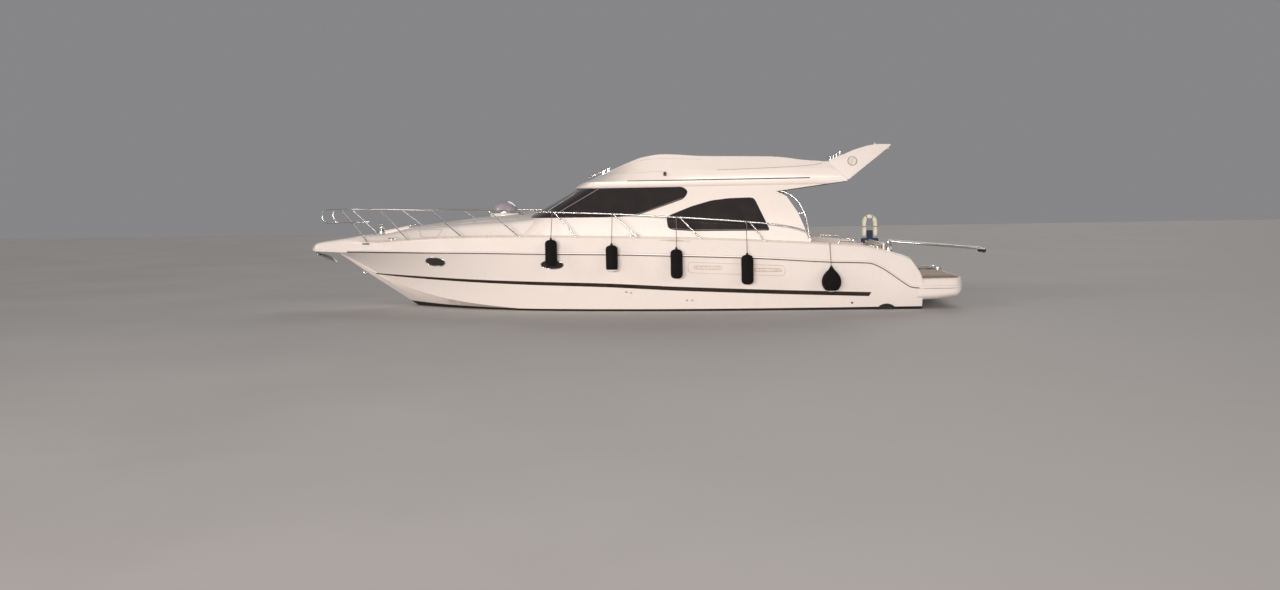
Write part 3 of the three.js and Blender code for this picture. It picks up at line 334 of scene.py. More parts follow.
# %% Node trees and effect groups
class Graph:
    def __init__(self, tree):
        self.nodes, self.links = tree.nodes, tree.links

    def node(self, kind, output, inputs, **settings):
        """One output of a new node. Each input is a plain value or the output of another node."""
        made = self.nodes.new("ShaderNode" + kind)
        for key, value in settings.items():
            setattr(made, key, value)
        for socket, value in inputs.items():
            if isinstance(value, bpy.types.NodeSocket):
                self.links.new(value, made.inputs[socket])
            else:
                made.inputs[socket].default_value = value
        return made.outputs[output]

    def place(self):
        return self.node("TexCoord", "Object", {})

    def along(self, axis):
        return self.node("SeparateXYZ", axis, {0: self.place()})

    def sums(self, operation, first, second=0.0):
        return self.node("Math", 0, {0: first, 1: second}, operation=operation)

    def noise(self, scale, detail=3.0, rough=0.5, place=None):
        place = self.place() if place is None else place
        return self.node("TexNoise", "Fac", {"Vector": place, "Scale": scale, "Detail": detail, "Roughness": rough})

    def cells(self, scale, feature="F1"):
        return self.node("TexVoronoi", "Distance", {"Vector": self.place(), "Scale": scale}, feature=feature)


class Effect(Graph):
    def __init__(self, name, output, **defaults):
        self.tree = bpy.data.node_groups.new(name, "ShaderNodeTree")
        for socket, default in defaults.items():
            kind = "NodeSocketVector" if isinstance(default, tuple) else "NodeSocketFloat"
            self.tree.interface.new_socket(socket, in_out="INPUT", socket_type=kind).default_value = default
        self.tree.interface.new_socket(output, in_out="OUTPUT", socket_type="NodeSocketFloat")
        super().__init__(self.tree)
        self.given = self.nodes.new("NodeGroupInput").outputs

    def ending(self, value):
        self.links.new(value, self.nodes.new("NodeGroupOutput").inputs[0])
        return self.tree


# Broad soft patches and finer mottling, from 0 to 1, at a size given in metres.
effect = Effect("clouding", "Mask", Size=0.5, Contrast=0.5)
mottling = effect.noise(effect.sums("DIVIDE", 1.0, effect.given["Size"]), 5.0, 0.55)
spread = effect.node("MapRange", "Result", {"Value": mottling, "From Min": 0.35, "From Max": 0.65})
CLOUDING = effect.ending(effect.sums("MULTIPLY", spread, effect.given["Contrast"]))

# Streaks along one axis, such as brushing on steel or rain runs down a side.
effect = Effect("streaks", "Mask", Stretch=(1.0, 1.0, 1.0), Scale=30.0)
stretched = effect.node("VectorMath", "Vector", {0: effect.place(), 1: effect.given["Stretch"]}, operation="MULTIPLY")
STREAKS = effect.ending(effect.noise(effect.given["Scale"], 4.0, 0.6, stretched))

# Crossing yarns seen as small rounded bumps, with a count of threads to the metre.
effect = Effect("weave", "Height", Threads=400.0)
yarns = []
for axis in "XYZ":
    crossing = {"Vector": effect.place(), "Scale": effect.given["Threads"], "Distortion": 0.6, "Detail": 1.0}
    yarns.append(effect.node("TexWave", "Fac", crossing, wave_type="BANDS", bands_direction=axis))
WEAVE = effect.ending(effect.sums("MAXIMUM", effect.sums("MULTIPLY", yarns[0], yarns[1]), yarns[2]))
print("effect groups:", [g.name for g in bpy.data.node_groups])


# %% Finish helper
class Finish(Graph):
    def __init__(self, name, **uniform):
        self.material = bpy.data.materials.new(name)
        self.material.use_nodes = True
        super().__init__(self.material.node_tree)
        self.shader = self.nodes["Principled BSDF"]
        for socket, value in uniform.items():
            self.shader.inputs[socket.replace("_", " ")].default_value = value

    def group(self, group, **values):
        return self.node("Group", 0, values, node_tree=group)

    def colours(self, mask, low, high, start=0.0, end=1.0):
        ramp = self.nodes.new("ShaderNodeValToRGB")
        for element, position, colour in zip(ramp.color_ramp.elements, (start, end), (low, high)):
            element.position, element.color = position, (*colour, 1)
        self.links.new(mask, ramp.inputs["Fac"])
        return ramp.outputs["Color"]

    def mixed(self, mask, *colours):
        first, second = ((*c, 1) if isinstance(c, tuple) else c for c in colours)
        return self.node("Mix", 2, {"Factor": mask, 6: first, 7: second}, data_type="RGBA")

    def between(self, mask, low, high):
        return self.node("MapRange", "Result", {"Value": mask, "To Min": low, "To Max": high})

    def paint(self, colour, roughness):
        self.links.new(colour, self.shader.inputs["Base Color"])
        self.links.new(roughness, self.shader.inputs["Roughness"])

    def bump(self, height, strength, distance):
        normal = self.node("Bump", "Normal", {"Height": height, "Strength": strength, "Distance": distance})
        self.links.new(normal, self.shader.inputs["Normal"])
        return self.material


def shaded(colour, share):
    return tuple(c * share for c in colour)


def mottled(name, low, high, rough, size, relief, texture, contrast=1.0, **uniform):
    """Clouds of a size between two colours and two roughnesses. The relief is a strength and a depth."""
    f = Finish(name, **uniform)
    clouds = f.group(CLOUDING, Size=size, Contrast=contrast)
    f.paint(f.colours(clouds, low, high), f.between(clouds, *rough))
    kind, *values = texture
    return f.bump(kind(f, *values), *relief)


# %% Finishes
GELCOAT = (0.86, 0.80, 0.755)
GELCOAT_AGED = (0.80, 0.735, 0.68)
ANTIFOULING = (0.012, 0.012, 0.014)
GLOSS = {"Coat_Weight": 0.25, "Coat_Roughness": 0.16, "Specular_IOR_Level": 0.3}
BOOT_TOP_Z, BOOT_TOP_SWEEP = 0.040, 0.0004
BOW_SWEEP_FROM, BOW_SWEEP = 1.9, 0.008
PLANK, CAULKED_SEAM, PLANKS_FROM = 0.055, 0.006, 20.0


def hull_gelcoat():
    """Gelcoat above the water, with dark antifouling below a line that sweeps up at both ends."""
    f = Finish("hull_gelcoat", **GLOSS)
    x, z = f.along("X"), f.along("Z")
    sweep = f.sums("MULTIPLY", f.sums("MULTIPLY", x, x), BOOT_TOP_SWEEP)
    bow = f.sums("MAXIMUM", f.sums("SUBTRACT", x, BOW_SWEEP_FROM), 0.0)
    bow = f.sums("MULTIPLY", f.sums("MULTIPLY", bow, bow), BOW_SWEEP)
    under = f.sums("LESS_THAN", z, f.sums("ADD", f.sums("ADD", sweep, bow), BOOT_TOP_Z))
    clouds = f.group(CLOUDING, Size=1.1, Contrast=0.7)
    runs = f.group(STREAKS, Stretch=(1.0, 1.0, 0.12), Scale=14.0)
    white = f.mixed(clouds, GELCOAT, f.colours(runs, GELCOAT, GELCOAT_AGED, 0.5, 0.8))
    f.paint(f.mixed(under, white, ANTIFOULING), f.between(under, 0.25, 0.6))
    return f.bump(f.noise(6.0, 2.0), 0.12, 0.002)


def steel(name, colour, rough):
    f = Finish(name, Metallic=1.0)
    grain = f.group(STREAKS, Stretch=(1.0, 6.0, 6.0), Scale=60.0)
    f.paint(f.colours(grain, shaded(colour, 0.82), colour, 0.3, 0.7), f.between(grain, *rough))
    return f.bump(grain, 0.06, 0.0005)


def plastic(name, colour, rough, scale=220.0, strength=0.2):
    worn = tuple(c * 1.3 + 0.008 for c in colour)
    return mottled(name, colour, tuple(min(1, c) for c in worn), rough, 0.06, (strength, 0.0006),
                   (Graph.noise, scale, 2.0))


def knitted_cover():
    f = Finish("knitted_cover", Specular_IOR_Level=0.2)
    height = f.group(WEAVE, Threads=55.0)
    f.paint(f.colours(height, (0.003, 0.003, 0.003), (0.010, 0.009, 0.009)), f.between(height, 0.95, 0.85))
    return f.bump(height, 0.6, 0.002)


def rope(name, colour):
    f = Finish(name, Sheen_Weight=0.2)
    height = f.group(STREAKS, Stretch=(6.0, 6.0, 3.0), Scale=90.0)
    f.paint(f.colours(height, shaded(colour, 0.6), colour), f.between(height, 0.8, 0.95))
    return f.bump(height, 0.5, 0.002)


def teak(name, across, stretch):
    """Planks with dark caulked seams, counted along the axis `across`."""
    f = Finish(name)
    part = f.sums("FRACT", f.sums("DIVIDE", f.sums("ADD", f.along(across), PLANKS_FROM), PLANK))
    seamed = f.sums("LESS_THAN", part, CAULKED_SEAM / PLANK)
    grain = f.group(STREAKS, Stretch=stretch, Scale=4.0)
    wood = f.colours(grain, (0.20, 0.115, 0.06), (0.42, 0.27, 0.155), 0.25, 0.75)
    f.paint(f.mixed(seamed, wood, (0.012, 0.011, 0.010)), f.between(grain, 0.5, 0.72))
    return f.bump(f.sums("SUBTRACT", f.sums("MULTIPLY", grain, 0.3), seamed), 0.5, 0.0015)


def leather(name, colour):
    return mottled(name, colour, shaded(colour, 0.86), (0.42, 0.6), 0.15, (0.25, 0.0012),
                   (Graph.cells, 260.0, "DISTANCE_TO_EDGE"), Sheen_Weight=0.1)


GEL = mottled("gelcoat", GELCOAT, GELCOAT_AGED, (0.22, 0.36), 0.9, (0.12, 0.0015), (Graph.noise, 9.0, 2.0), 0.7,
              **GLOSS)
HULL_GEL = hull_gelcoat()
STRIPE = mottled("dark_stripe", (0.020, 0.012, 0.009), (0.034, 0.022, 0.017), (0.28, 0.42), 0.3, (0.05, 0.0005),
                 (Graph.noise, 80.0), Coat_Weight=0.1, Specular_IOR_Level=0.3)
TREAD = mottled("deck_tread", (0.74, 0.70, 0.66), (0.64, 0.60, 0.56), (0.55, 0.7), 0.4, (0.7, 0.002),
                (Graph.cells, 140.0))
TINT = (0.022, 0.017, 0.016)
GLASS = mottled("tinted_glass", TINT, shaded(TINT, 1.35), (0.03, 0.08), 0.25, (0.05, 0.002), (Graph.noise, 3.0, 1.0),
                Transmission_Weight=0.25, IOR=1.5, Coat_Weight=0.6)
DOME = mottled("smoked_acrylic", (0.36, 0.32, 0.36), (0.44, 0.40, 0.44), (0.18, 0.3), 0.12, (0.05, 0.001),
               (Graph.noise, 40.0), Transmission_Weight=0.12, IOR=1.49, Coat_Weight=0.4)
STEEL = steel("polished_steel", (0.74, 0.73, 0.72), (0.12, 0.26))
ALLOY = steel("anodised_alloy", (0.50, 0.46, 0.43), (0.3, 0.45))
RUBBER = plastic("black_rubber", (0.014, 0.014, 0.015), (0.6, 0.8))
DARK = plastic("dark_trim", (0.03, 0.03, 0.033), (0.35, 0.55))
GREY = plastic("grey_trim", (0.32, 0.31, 0.31), (0.35, 0.5))
# A tan tone of gelcoat used as painted shade: thin lines along creases and recess edges, the fairlead's recess and the
# toe rail.
SHADE = plastic("shaded_gelcoat", (0.52, 0.45, 0.39), (0.35, 0.5), 60.0, 0.05)
BRONZED = plastic("tan_moulding", (0.24, 0.17, 0.13), (0.4, 0.55), 60.0, 0.1)
# A pale tan: painted shade inside the vent slots, and the own grey of the roundels on the arch.
PALE_SHADE_AND_ROUNDEL = plastic("slot_shade_and_roundel_grey", (0.68, 0.61, 0.55), (0.35, 0.5), 60.0, 0.05)
# Dark sealant for joints, also used as painted shade under the strake and under the roof's after overhang.
SEALANT_AND_SHADE = plastic("dark_sealant_and_shade", (0.045, 0.036, 0.032), (0.5, 0.7))
# Grey seal, also used as a painted highlight along the lower edges of the glass.
GLASS_SEAL_AND_HIGHLIGHT = plastic("grey_seal_and_highlight", (0.30, 0.26, 0.25), (0.45, 0.6))
WHITE = plastic("white_plastic", (0.82, 0.80, 0.77), (0.3, 0.45), 90.0, 0.05)
CREAM = plastic("buoy_foam", (0.82, 0.77, 0.64), (0.5, 0.7), 160.0, 0.15)
NAVY = plastic("navy_cover", (0.02, 0.03, 0.075), (0.7, 0.85), 300.0, 0.3)
ENGINE = plastic("engine_enamel", (0.30, 0.32, 0.34), (0.3, 0.5), 50.0, 0.1)
SOCK = knitted_cover()
LINE = rope("grey_line", (0.20, 0.165, 0.15))
TEAK_LENGTHWAYS = teak("teak_lengthways", "Y", (1.6, 22.0, 22.0))
TEAK_ACROSS = teak("teak_across", "X", (22.0, 1.6, 22.0))
CUSHION = leather("upholstery", (0.74, 0.69, 0.60))
PIPING = leather("piping", (0.30, 0.27, 0.23))
BRONZE = mottled("bronze", (0.42, 0.27, 0.13), (0.17, 0.20, 0.14), (0.3, 0.6), 0.08, (0.15, 0.001), (Graph.noise, 60.0),
                 Metallic=1.0)
print("finishes:", len(bpy.data.materials))

# %% [markdown]
# The lines of the boat. The hull rows give keel height, chine, fullness of the topsides and the joint with
# the deck. The deck rows go from the outer edge to the crown: edge, foot and shoulder of the coachroof.

# %% Lines of the boat
HULL_ROWS = [
    (-5.69, -0.47, 1.69, -0.11, 0.02, 1.88, 0.385), (-5.5, -0.475, 1.695, -0.11, 0.02, 1.89, 0.4),
    (-5.3, -0.48, 1.7, -0.11, 0.022, 1.9, 0.52), (-4.92, -0.488, 1.712, -0.108, 0.024, 1.912, 0.78),
    (-4.72, -0.495, 1.715, -0.105, 0.025, 1.92, 0.86), (-4.0, -0.51, 1.735, -0.1, 0.028, 1.95, 0.89),
    (-2.6, -0.54, 1.745, -0.09, 0.03, 1.995, 0.98), (-1.09, -0.565, 1.715, -0.07, 0.03, 2.0, 1.04),
    (0.13, -0.58, 1.63, -0.04, 0.025, 1.965, 1.08), (1.57, -0.565, 1.44, 0.02, 0.005, 1.85, 1.105),
    (2.6, -0.5, 1.18, 0.095, -0.025, 1.66, 1.125), (3.4, -0.37, 0.9, 0.19, -0.05, 1.43, 1.13),
    (4.16, -0.09, 0.56, 0.34, -0.065, 1.13, 1.13), (4.69, 0.24, 0.31, 0.5, -0.06, 0.88, 1.13),
    (5.35, 0.67, 0.095, 0.81, -0.03, 0.52, 1.13), (5.86, 1.015, 0.03, 1.06, -0.005, 0.19, 1.13),
    (5.96, 1.08, 0.014, 1.1, 0.0, 0.09, 1.13),
]
EXTENSION_ROWS = [
    (-6.48, 1.42, 0.35), (-6.455, 1.52, 0.31), (-6.35, 1.66, 0.215), (-5.73, 1.76, 0.172), (-5.6, 1.77, 0.172),
]
PLATFORM_EDGE_ROWS = [(-6.49, 1.45), (-6.46, 1.61), (-6.4, 1.73), (-6.3, 1.8), (-5.69, 1.88)]
TONGUE_ROWS = [
    (5.35, 0.52, 1.13), (5.6, 0.425, 1.13), (5.86, 0.37, 1.135), (6.04, 0.345, 1.145), (6.4, 0.29, 1.162),
    (6.52, 0.14, 1.175),
]
DECK_ROWS = [
    (-6.49, 1.4, 0.545, 1.38, 0.552, 1.34, 0.556, 0.56), (-6.46, 1.57, 0.55, 1.54, 0.556, 1.5, 0.558, 0.56),
    (-6.4, 1.69, 0.552, 1.66, 0.558, 1.6, 0.56, 0.56), (-6.3, 1.76, 0.553, 1.73, 0.558, 1.65, 0.56, 0.56),
    (-5.7, 1.83, 0.556, 1.79, 0.56, 1.7, 0.56, 0.56), (-5.675, 1.835, 0.64, 1.795, 0.65, 1.7, 0.652, 0.655),
    (-5.56, 1.84, 0.82, 1.8, 0.845, 1.7, 0.85, 0.855), (-5.48, 1.845, 0.92, 1.8, 0.945, 1.69, 0.95, 0.955),
    (-5.1, 1.85, 1.06, 1.8, 1.078, 1.68, 1.082, 1.085), (-4.73, 1.856, 1.155, 1.79, 1.172, 1.67, 1.176, 1.178),
    (-4.22, 1.866, 1.212, 1.78, 1.225, 1.66, 1.228, 1.23), (-3.65, 1.88, 1.248, 1.7, 1.258, 1.62, 1.262, 1.266),
    (-2.69, 1.905, 1.308, 1.68, 1.316, 1.6, 1.322, 1.33), (-1.62, 1.915, 1.362, 1.68, 1.37, 1.6, 1.376, 1.382),
    (-0.48, 1.91, 1.398, 1.67, 1.406, 1.59, 1.412, 1.42), (0.82, 1.852, 1.43, 1.6, 1.44, 1.52, 1.45, 1.46),
    (1.15, 1.828, 1.436, 1.57, 1.446, 1.49, 1.64, 1.66), (1.4, 1.803, 1.44, 1.54, 1.45, 1.43, 1.775, 1.87),
    (1.8, 1.755, 1.442, 1.49, 1.452, 1.37, 1.74, 1.89), (2.22, 1.69, 1.443, 1.42, 1.453, 1.28, 1.705, 1.868),
    (2.93, 1.545, 1.44, 1.29, 1.45, 1.13, 1.675, 1.812), (3.62, 1.33, 1.42, 1.09, 1.432, 0.93, 1.622, 1.735),
    (4.23, 1.08, 1.39, 0.88, 1.402, 0.72, 1.585, 1.66), (5.02, 0.67, 1.345, 0.56, 1.362, 0.43, 1.478, 1.512),
    (5.4, 0.48, 1.345, 0.43, 1.385, 0.34, 1.47, 1.49), (5.7, 0.385, 1.34, 0.35, 1.4, 0.27, 1.43, 1.442),
    (6.04, 0.335, 1.31, 0.305, 1.37, 0.22, 1.388, 1.396), (6.4, 0.275, 1.26, 0.245, 1.318, 0.16, 1.33, 1.336),
    (6.52, 0.13, 1.2, 0.115, 1.235, 0.07, 1.245, 1.25),
]
TRANSOM_X, PLATFORM_JOINT_Z, TONGUE_FROM_X = -5.69, 0.385, 5.35
PLATFORM_Z, SOLE_Z, POCKET_Y, HULL_HALF_BEAM = 0.56, 0.6, 1.49, 1.88
STRAKE_PROUD, BOW_STRAKE_PROUD, BOW_STRAKE_X = 0.016, 0.006, 5.7
GAP = 0.0003
LONGEST = 0.045

keel_z, chine_y, chine_z, fullness, joint_y, joint_z = curves_through(HULL_ROWS)
edge_y, edge_z, foot_y, foot_z, shoulder_y, shoulder_z, crown_z = curves_through(DECK_ROWS)
tongue_y, tongue_z = curves_through(TONGUE_ROWS)
under_y, under_z = curves_through(EXTENSION_ROWS)
platform_y = curve_through(PLATFORM_EDGE_ROWS, 1)


def deck_joint(x):
    if x < TRANSOM_X:
        return platform_y(x), PLATFORM_JOINT_Z
    return (tongue_y(x), tongue_z(x)) if x > TONGUE_FROM_X else (joint_y(x), joint_z(x))


def strake_proud(x):
    return BOW_STRAKE_PROUD if x > BOW_STRAKE_X else STRAKE_PROUD


def topside(x, t):
    """Half-width and height on the topsides, from the chine at t = 0 to the deck joint at t = 1."""
    width = chine_y(x) + (joint_y(x) - chine_y(x)) * t + fullness(x) * 4 * t * (1 - t)
    return width, chine_z(x) + (joint_z(x) - chine_z(x)) * t


def topside_y(x, z):
    return topside(x, (z - chine_z(x)) / (joint_z(x) - chine_z(x)))[0]


def both_halves(x, half):
    port = [Vector((x, y, z)) for y, z in half]
    return port + [Vector((x, -v.y, v.z)) for v in reversed(port) if v.y > 1e-6]


# %% [markdown]
# Hull. The chine is a hard edge with a small flat above the water's spray, and the topsides swell a little
# amidships and flare at the bow. The rooms inside are cut out, so the cabin is really hollow.


# %% Hull moulding
def hull_ring(x):
    keel, cy, cz = keel_z(x), chine_y(x), chine_z(x)
    flat = min(0.045, cy * 0.2)
    bottom = [(0, keel), (cy * 0.25, keel + (cz - keel) * 0.235), (cy * 0.5, keel + (cz - keel) * 0.47)]
    bottom += [(cy * 0.75, keel + (cz - keel) * 0.72), (cy - flat, cz - 0.012)]
    side = [topside(x, t / 12) for t in range(13)]
    return both_halves(x, bottom + side)


def extension_ring(x):
    outer = min(platform_y(x), HULL_HALF_BEAM)
    low = min(PLATFORM_JOINT_Z - 0.008, under_z(x) + 0.07)
    corners = [(0, under_z(x)), (under_y(x), under_z(x)), (outer, low), (outer, PLATFORM_JOINT_Z)]
    return both_halves(x, soften(corners, (0.05, 0.05), 3))


def room(x0, x1, y0, y1, z0, z1):
    return Shape().box((x0, y0, z0), (x1, y1, z1))


CABIN_ROOM = room(1.5, 3.3, -0.9, 0.9, 0.15, 1.56)
PASSAGE = room(1.1, 1.6, 0.12, 0.74, 0.55, 1.56)
SALOON_ROOM = room(-5.08, 1.15, -POCKET_Y, POCKET_Y, 0.55, 2.0)
ENGINE_ROOM = room(-4.7, -1.7, -1.25, 1.25, -0.19, 0.6)
GATE_PASSAGE = room(-5.8, -5.03, -1.15, -0.52, PLATFORM_Z, 2.0)

hull_xs = stations(HULL_ROWS, LONGEST * 1.6)
hull = raw_object("hull_moulding", Shape().loft([hull_ring(x) for x in hull_xs]))
extension = Shape().loft([extension_ring(x) for x in stations(EXTENSION_ROWS, LONGEST)])
cut(hull, extension, operation="UNION")
cut(hull, CABIN_ROOM, PASSAGE, SALOON_ROOM, ENGINE_ROOM, GATE_PASSAGE)
settle(hull, HULL_GEL, crisp=24, replaces="hull")
print("hull faces:", len(hull.data.polygons))


# %% [markdown]
# Deck moulding. One section runs from the rubbing strake on the joint, up the bulwark, in over the side
# deck and up the coachroof. Every corner is rounded as the mould would leave it. The strake stands 16 mm
# proud and its shadow is the line that runs the whole length of the boat.


# %% Deck moulding
def deck_ring(x):
    y, z = deck_joint(x)
    out = y + strake_proud(x)
    corners = [
        (0, z + GAP), (y, z + GAP), (out, z + 0.006), (out, z + 0.044), (y - 0.004, z + 0.052),
        (edge_y(x), edge_z(x)), (foot_y(x), foot_z(x)), (shoulder_y(x), shoulder_z(x)),
        (shoulder_y(x) * 0.55, shoulder_z(x) + (crown_z(x) - shoulder_z(x)) * 0.75), (0, crown_z(x)),
    ]
    return both_halves(x, soften(corners, (0, 0.006, 0.01, 0.006, 0.03, 0.04, 0.09, 0.4)))


deck_xs = sorted(set(round(x, 4) for x in stations(DECK_ROWS, LONGEST) + [row[0] for row in HULL_ROWS[:6]]))
deck = raw_object("deck_moulding", Shape().loft([deck_ring(x) for x in deck_xs]))

HATCH_X = 2.45
LOCKER_X, LOCKER_Z, LOCKER_SLOPE = 4.665, 1.597, math.radians(10.6)
GATE_X, GATE_Y = -5.25, (-1.15, -0.52)


def on_locker(shape):
    turn = Matrix.Translation((LOCKER_X, 0, LOCKER_Z)) @ Matrix.Rotation(LOCKER_SLOPE, 4, "Y")
    return shape.moved(turn)


hatch_coaming = Shape().lathe(
    [(0, 1.7), (0.305, 1.7), (0.305, 1.868), (0.301, 1.88), (0.289, 1.8903), (0, 1.8903)], (HATCH_X, 0, 0), sides=48
)
locker_rim = on_locker(Shape().box((-0.265, -0.28, -0.12), (0.265, 0.28, 0.0)))
cut(deck, hatch_coaming, locker_rim, operation="UNION")
cut(deck, SALOON_ROOM, CABIN_ROOM, PASSAGE, GATE_PASSAGE)
cut(
    deck,
    Shape().lathe([(0, 1.3), (0.24, 1.3), (0.24, 2.2), (0, 2.2)], (HATCH_X, 0, 0), sides=48),
    room(LOCKER_X - 0.235, LOCKER_X + 0.235, -0.25, 0.25, 1.22, 2.0),
    room(6.1, 6.6, -0.0603, 0.0603, 1.2317, 1.5),
    room(6.39, 6.6, -0.0603, 0.0603, 1.1, 1.5),
)
settle(deck, GEL, crisp=26, replaces="deck")
print("deck faces:", len(deck.data.polygons))

# The gate's two lugs and the cheeks that hold the swimming ladder.
fittings = Shape()
for z in (SOLE_Z + 0.06, 0.9):
    fittings.box((GATE_X - 0.008, GATE_Y[0] - 0.01, z), (GATE_X + 0.008, GATE_Y[0] + 0.0067, z + 0.06))
for y in (-1.08, -0.632):
    fittings.box((-6.535, y, 0.54), (-6.44, y + 0.012, 0.618))
piece("gate_and_ladder_lugs", fittings, STEEL, bevelled=0.002)


# %% [markdown]
# Cabin. Seen from above the front is a superellipse, so the glass wraps round without a corner. Each level
# has its own side width, corner and front, and leans inwards with height. The windows are cut through.


# %% Cabin walls and roof
CABIN_LEVELS = [(1.15, 1.64, 1.56, 2.96), (1.83, 1.555, 1.12, 1.83), (2.35, 1.47, 0.33, 0.88)]
ROOF_LEVELS = [
    (2.35, 1.476, 0.36, 0.915), (2.364, 1.488, 0.362, 0.925), (2.385, 1.496, 0.365, 0.915), (2.42, 1.499, 0.36, 0.855),
    (2.465, 1.5, 0.355, 0.765),
]
CABIN_AFT_X, SQUARE_AFT_X, CEILING_Z = -4.39, -2.0, 2.37
FRONT_SIDE_WINDOW = [
    (1.01, 1.905), (0.27, 2.335), (-1.12, 2.34), (-1.28, 2.33), (-1.37, 2.245), (-1.29, 2.13),
    (-0.46, 1.85), (-0.2, 1.822), (0.07, 1.812), (0.6, 1.845),
]
SALOON_WINDOW = [
    (-2.93, 1.49), (-1.46, 1.502), (-1.08, 1.532), (-1.0, 1.575), (-0.975, 1.765), (-1.04, 1.81),
    (-1.45, 1.97), (-1.83, 2.075), (-2.16, 2.112), (-2.59, 2.12), (-2.65, 2.09),
]
CABIN_AFT_CUT = [
    (-3.06, 2.23), (-3.25, 2.13), (-3.45, 1.83), (-3.56, 1.57), (-3.67, 1.26), (-3.72, 0.9),
    (-6.0, 0.9), (-6.0, 2.61), (-4.38, 2.4),
]
ARCH_JOINT = [(-4.035, 3.2), (-4.9, 3.2), (-4.9, 2.3), (-4.505, 2.3), (-4.035, 2.79)]
WINDSCREEN = [(-1.23, 1.925), (1.23, 1.925), (1.215, 2.325), (-1.215, 2.325)]
LADDER_HOLE = room(-3.76, -3.02, -1.21, -0.56, 2.2, 2.6)
ARC_STEPS, SUPERELLIPSE = 28, 2.2


def cabin_half_width(x, side, corner, front):
    if x <= corner:
        return side
    t = min((x - corner) / (front - corner), 1)
    return side * (1 - t**SUPERELLIPSE) ** (1 / SUPERELLIPSE)


def cabin_outline(side, corner, front, outward, aft):
    """Plan outline from the port after corner round the bow end, moved outwards."""
    port = [Vector((CABIN_AFT_X - aft, side)), Vector((SQUARE_AFT_X, side)), Vector((corner - 0.6, side))]
    for i in range(ARC_STEPS + 1):
        x = corner + (front - corner) * math.sin(i / ARC_STEPS * math.pi / 2)
        port.append(Vector((x, 0 if i == ARC_STEPS else cabin_half_width(x, side, corner, front))))
    line = port + [Vector((v.x, -v.y)) for v in reversed(port[:-1])]
    out = []
    for before, point, after in zip(line[:1] + line, line, line[1:] + line[-1:]):
        along = (after - before).normalized()
        out.append(point - Vector((along.y, -along.x)) * outward)
    return out


def cabin_shell(levels, outward=0.0, aft=0.0):
    """A closed form through levels, each a height, a side half-width, a corner and a front."""
    steps = [
        [a + (b - a) * t for a, b in zip(low, high)]
        for low, high in zip(levels, levels[1:])
        for t in (0, 0.25, 0.5, 0.75)
    ]
    return Shape().loft([[(*p, z) for p in cabin_outline(*plan, outward, aft)] for z, *plan in steps + levels[-1:]])


LOW_INNER_LEVEL = (0.9, 1.671, 1.79, 3.42)
INNER_LEVELS = [LOW_INNER_LEVEL, CABIN_LEVELS[1], (CEILING_Z, 1.467, 0.3, 0.845)]
walls = raw_object("deckhouse_moulding", cabin_shell(CABIN_LEVELS))
cut(walls, cabin_shell(ROOF_LEVELS), operation="UNION")
cut(
    walls,
    cabin_shell(INNER_LEVELS, -0.06, 0.3),
    Shape().sideways(CABIN_AFT_CUT, -2.2, 2.2),
    LADDER_HOLE,
    Shape().sideways(ARCH_JOINT, -2.0, 2.0),
    Shape().lengthways(WINDSCREEN, -0.15, 2.4),
)
side_window = rounded(FRONT_SIDE_WINDOW, 0.07)
saloon_window = rounded(SALOON_WINDOW, 0.06)
for outline in (side_window, saloon_window):
    cut(walls, Shape().sideways(outline, 1.2, 1.8), Shape().sideways(outline, -1.8, -1.2))
settle(walls, GEL, crisp=26, replaces="deckhouse")
print("deckhouse faces:", len(walls.data.polygons))


# %% [markdown]
# Glass. From outside, the windscreen and the front side windows read as one dark band that wraps round the
# front: the pillars are behind the glass, and its edge is blacked out. The skin is the cabin's own surface,
# moved 5 mm outwards, and it is trimmed to the band's outline. Two thin seams part it at the pillars.


# %% Wrap-around glass
SKIN_INNER_LEVELS = [LOW_INNER_LEVEL, CABIN_LEVELS[1], (2.6, 1.43, -0.05, 0.42)]
BAND = rounded(
    [
        (1.03, 1.885), (0.60, 1.825), (0.07, 1.79), (-0.20, 1.80), (-0.47, 1.83), (-1.31, 2.115), (-1.40, 2.25),
        (-1.30, 2.345), (2.4, 2.345), (2.4, 1.90),
    ],
    0.07,
)
COWL = [
    (0.07, 1.786), (0.60, 1.79), (1.03, 1.793), (2.4, 1.795), (2.4, 1.908), (1.10, 1.895), (0.60, 1.84), (0.30, 1.81),
]
PILLAR_Y, HALF_SEAM = 1.205, 0.003


def glass_skin(name, outline, sides, only=None, proud=0.005, replaces=None):
    """The cabin's own surface moved outwards, kept where an outline seen from the side and a room allow it."""
    sheet = raw_object(name, cabin_shell(CABIN_LEVELS, proud))
    cut(sheet, cabin_shell(SKIN_INNER_LEVELS, -0.012, 0.3))
    cut(sheet, Shape().sideways(outline, *sides), operation="INTERSECT")
    if only:
        cut(sheet, only, operation="INTERSECT")
    return settle(sheet, GLASS, crisp=20, replaces=replaces)


for name, side in SIDES:
    outer = room(-2.0, 3.0, *sorted((side * (PILLAR_Y + HALF_SEAM), side * 2.0)), 1.0, 3.0)
    node = f"front_side_glass_{name}"
    glass_skin(f"{node}_skin", BAND, (-2.0, 2.0), outer, replaces=node)
    node = f"saloon_glass_{name}"
    glass_skin(f"{node}_skin", saloon_window, sorted((side * 1.2, side * 1.8)), replaces=node)
middle = room(0.0, 3.0, -PILLAR_Y, PILLAR_Y, 1.0, 3.0)
glass_skin("windscreen_skin", BAND, (-PILLAR_Y, PILLAR_Y), middle, replaces="windscreen")
# Below the screen the moulding is painted black, down to where it meets the coachroof.
glass_skin("windscreen_cowl", COWL, (-1.8, 1.8), room(0.0, 3.0, -1.8, 1.8, 1.0, 3.0), proud=0.0035)

# %% [markdown]
# Flybridge and radar arch. The flybridge coaming is one curved moulding with a well cut into it, and a
# groove shows where it sits on the cabin roof. The arch is two swept wings and a beam, with every edge soft.

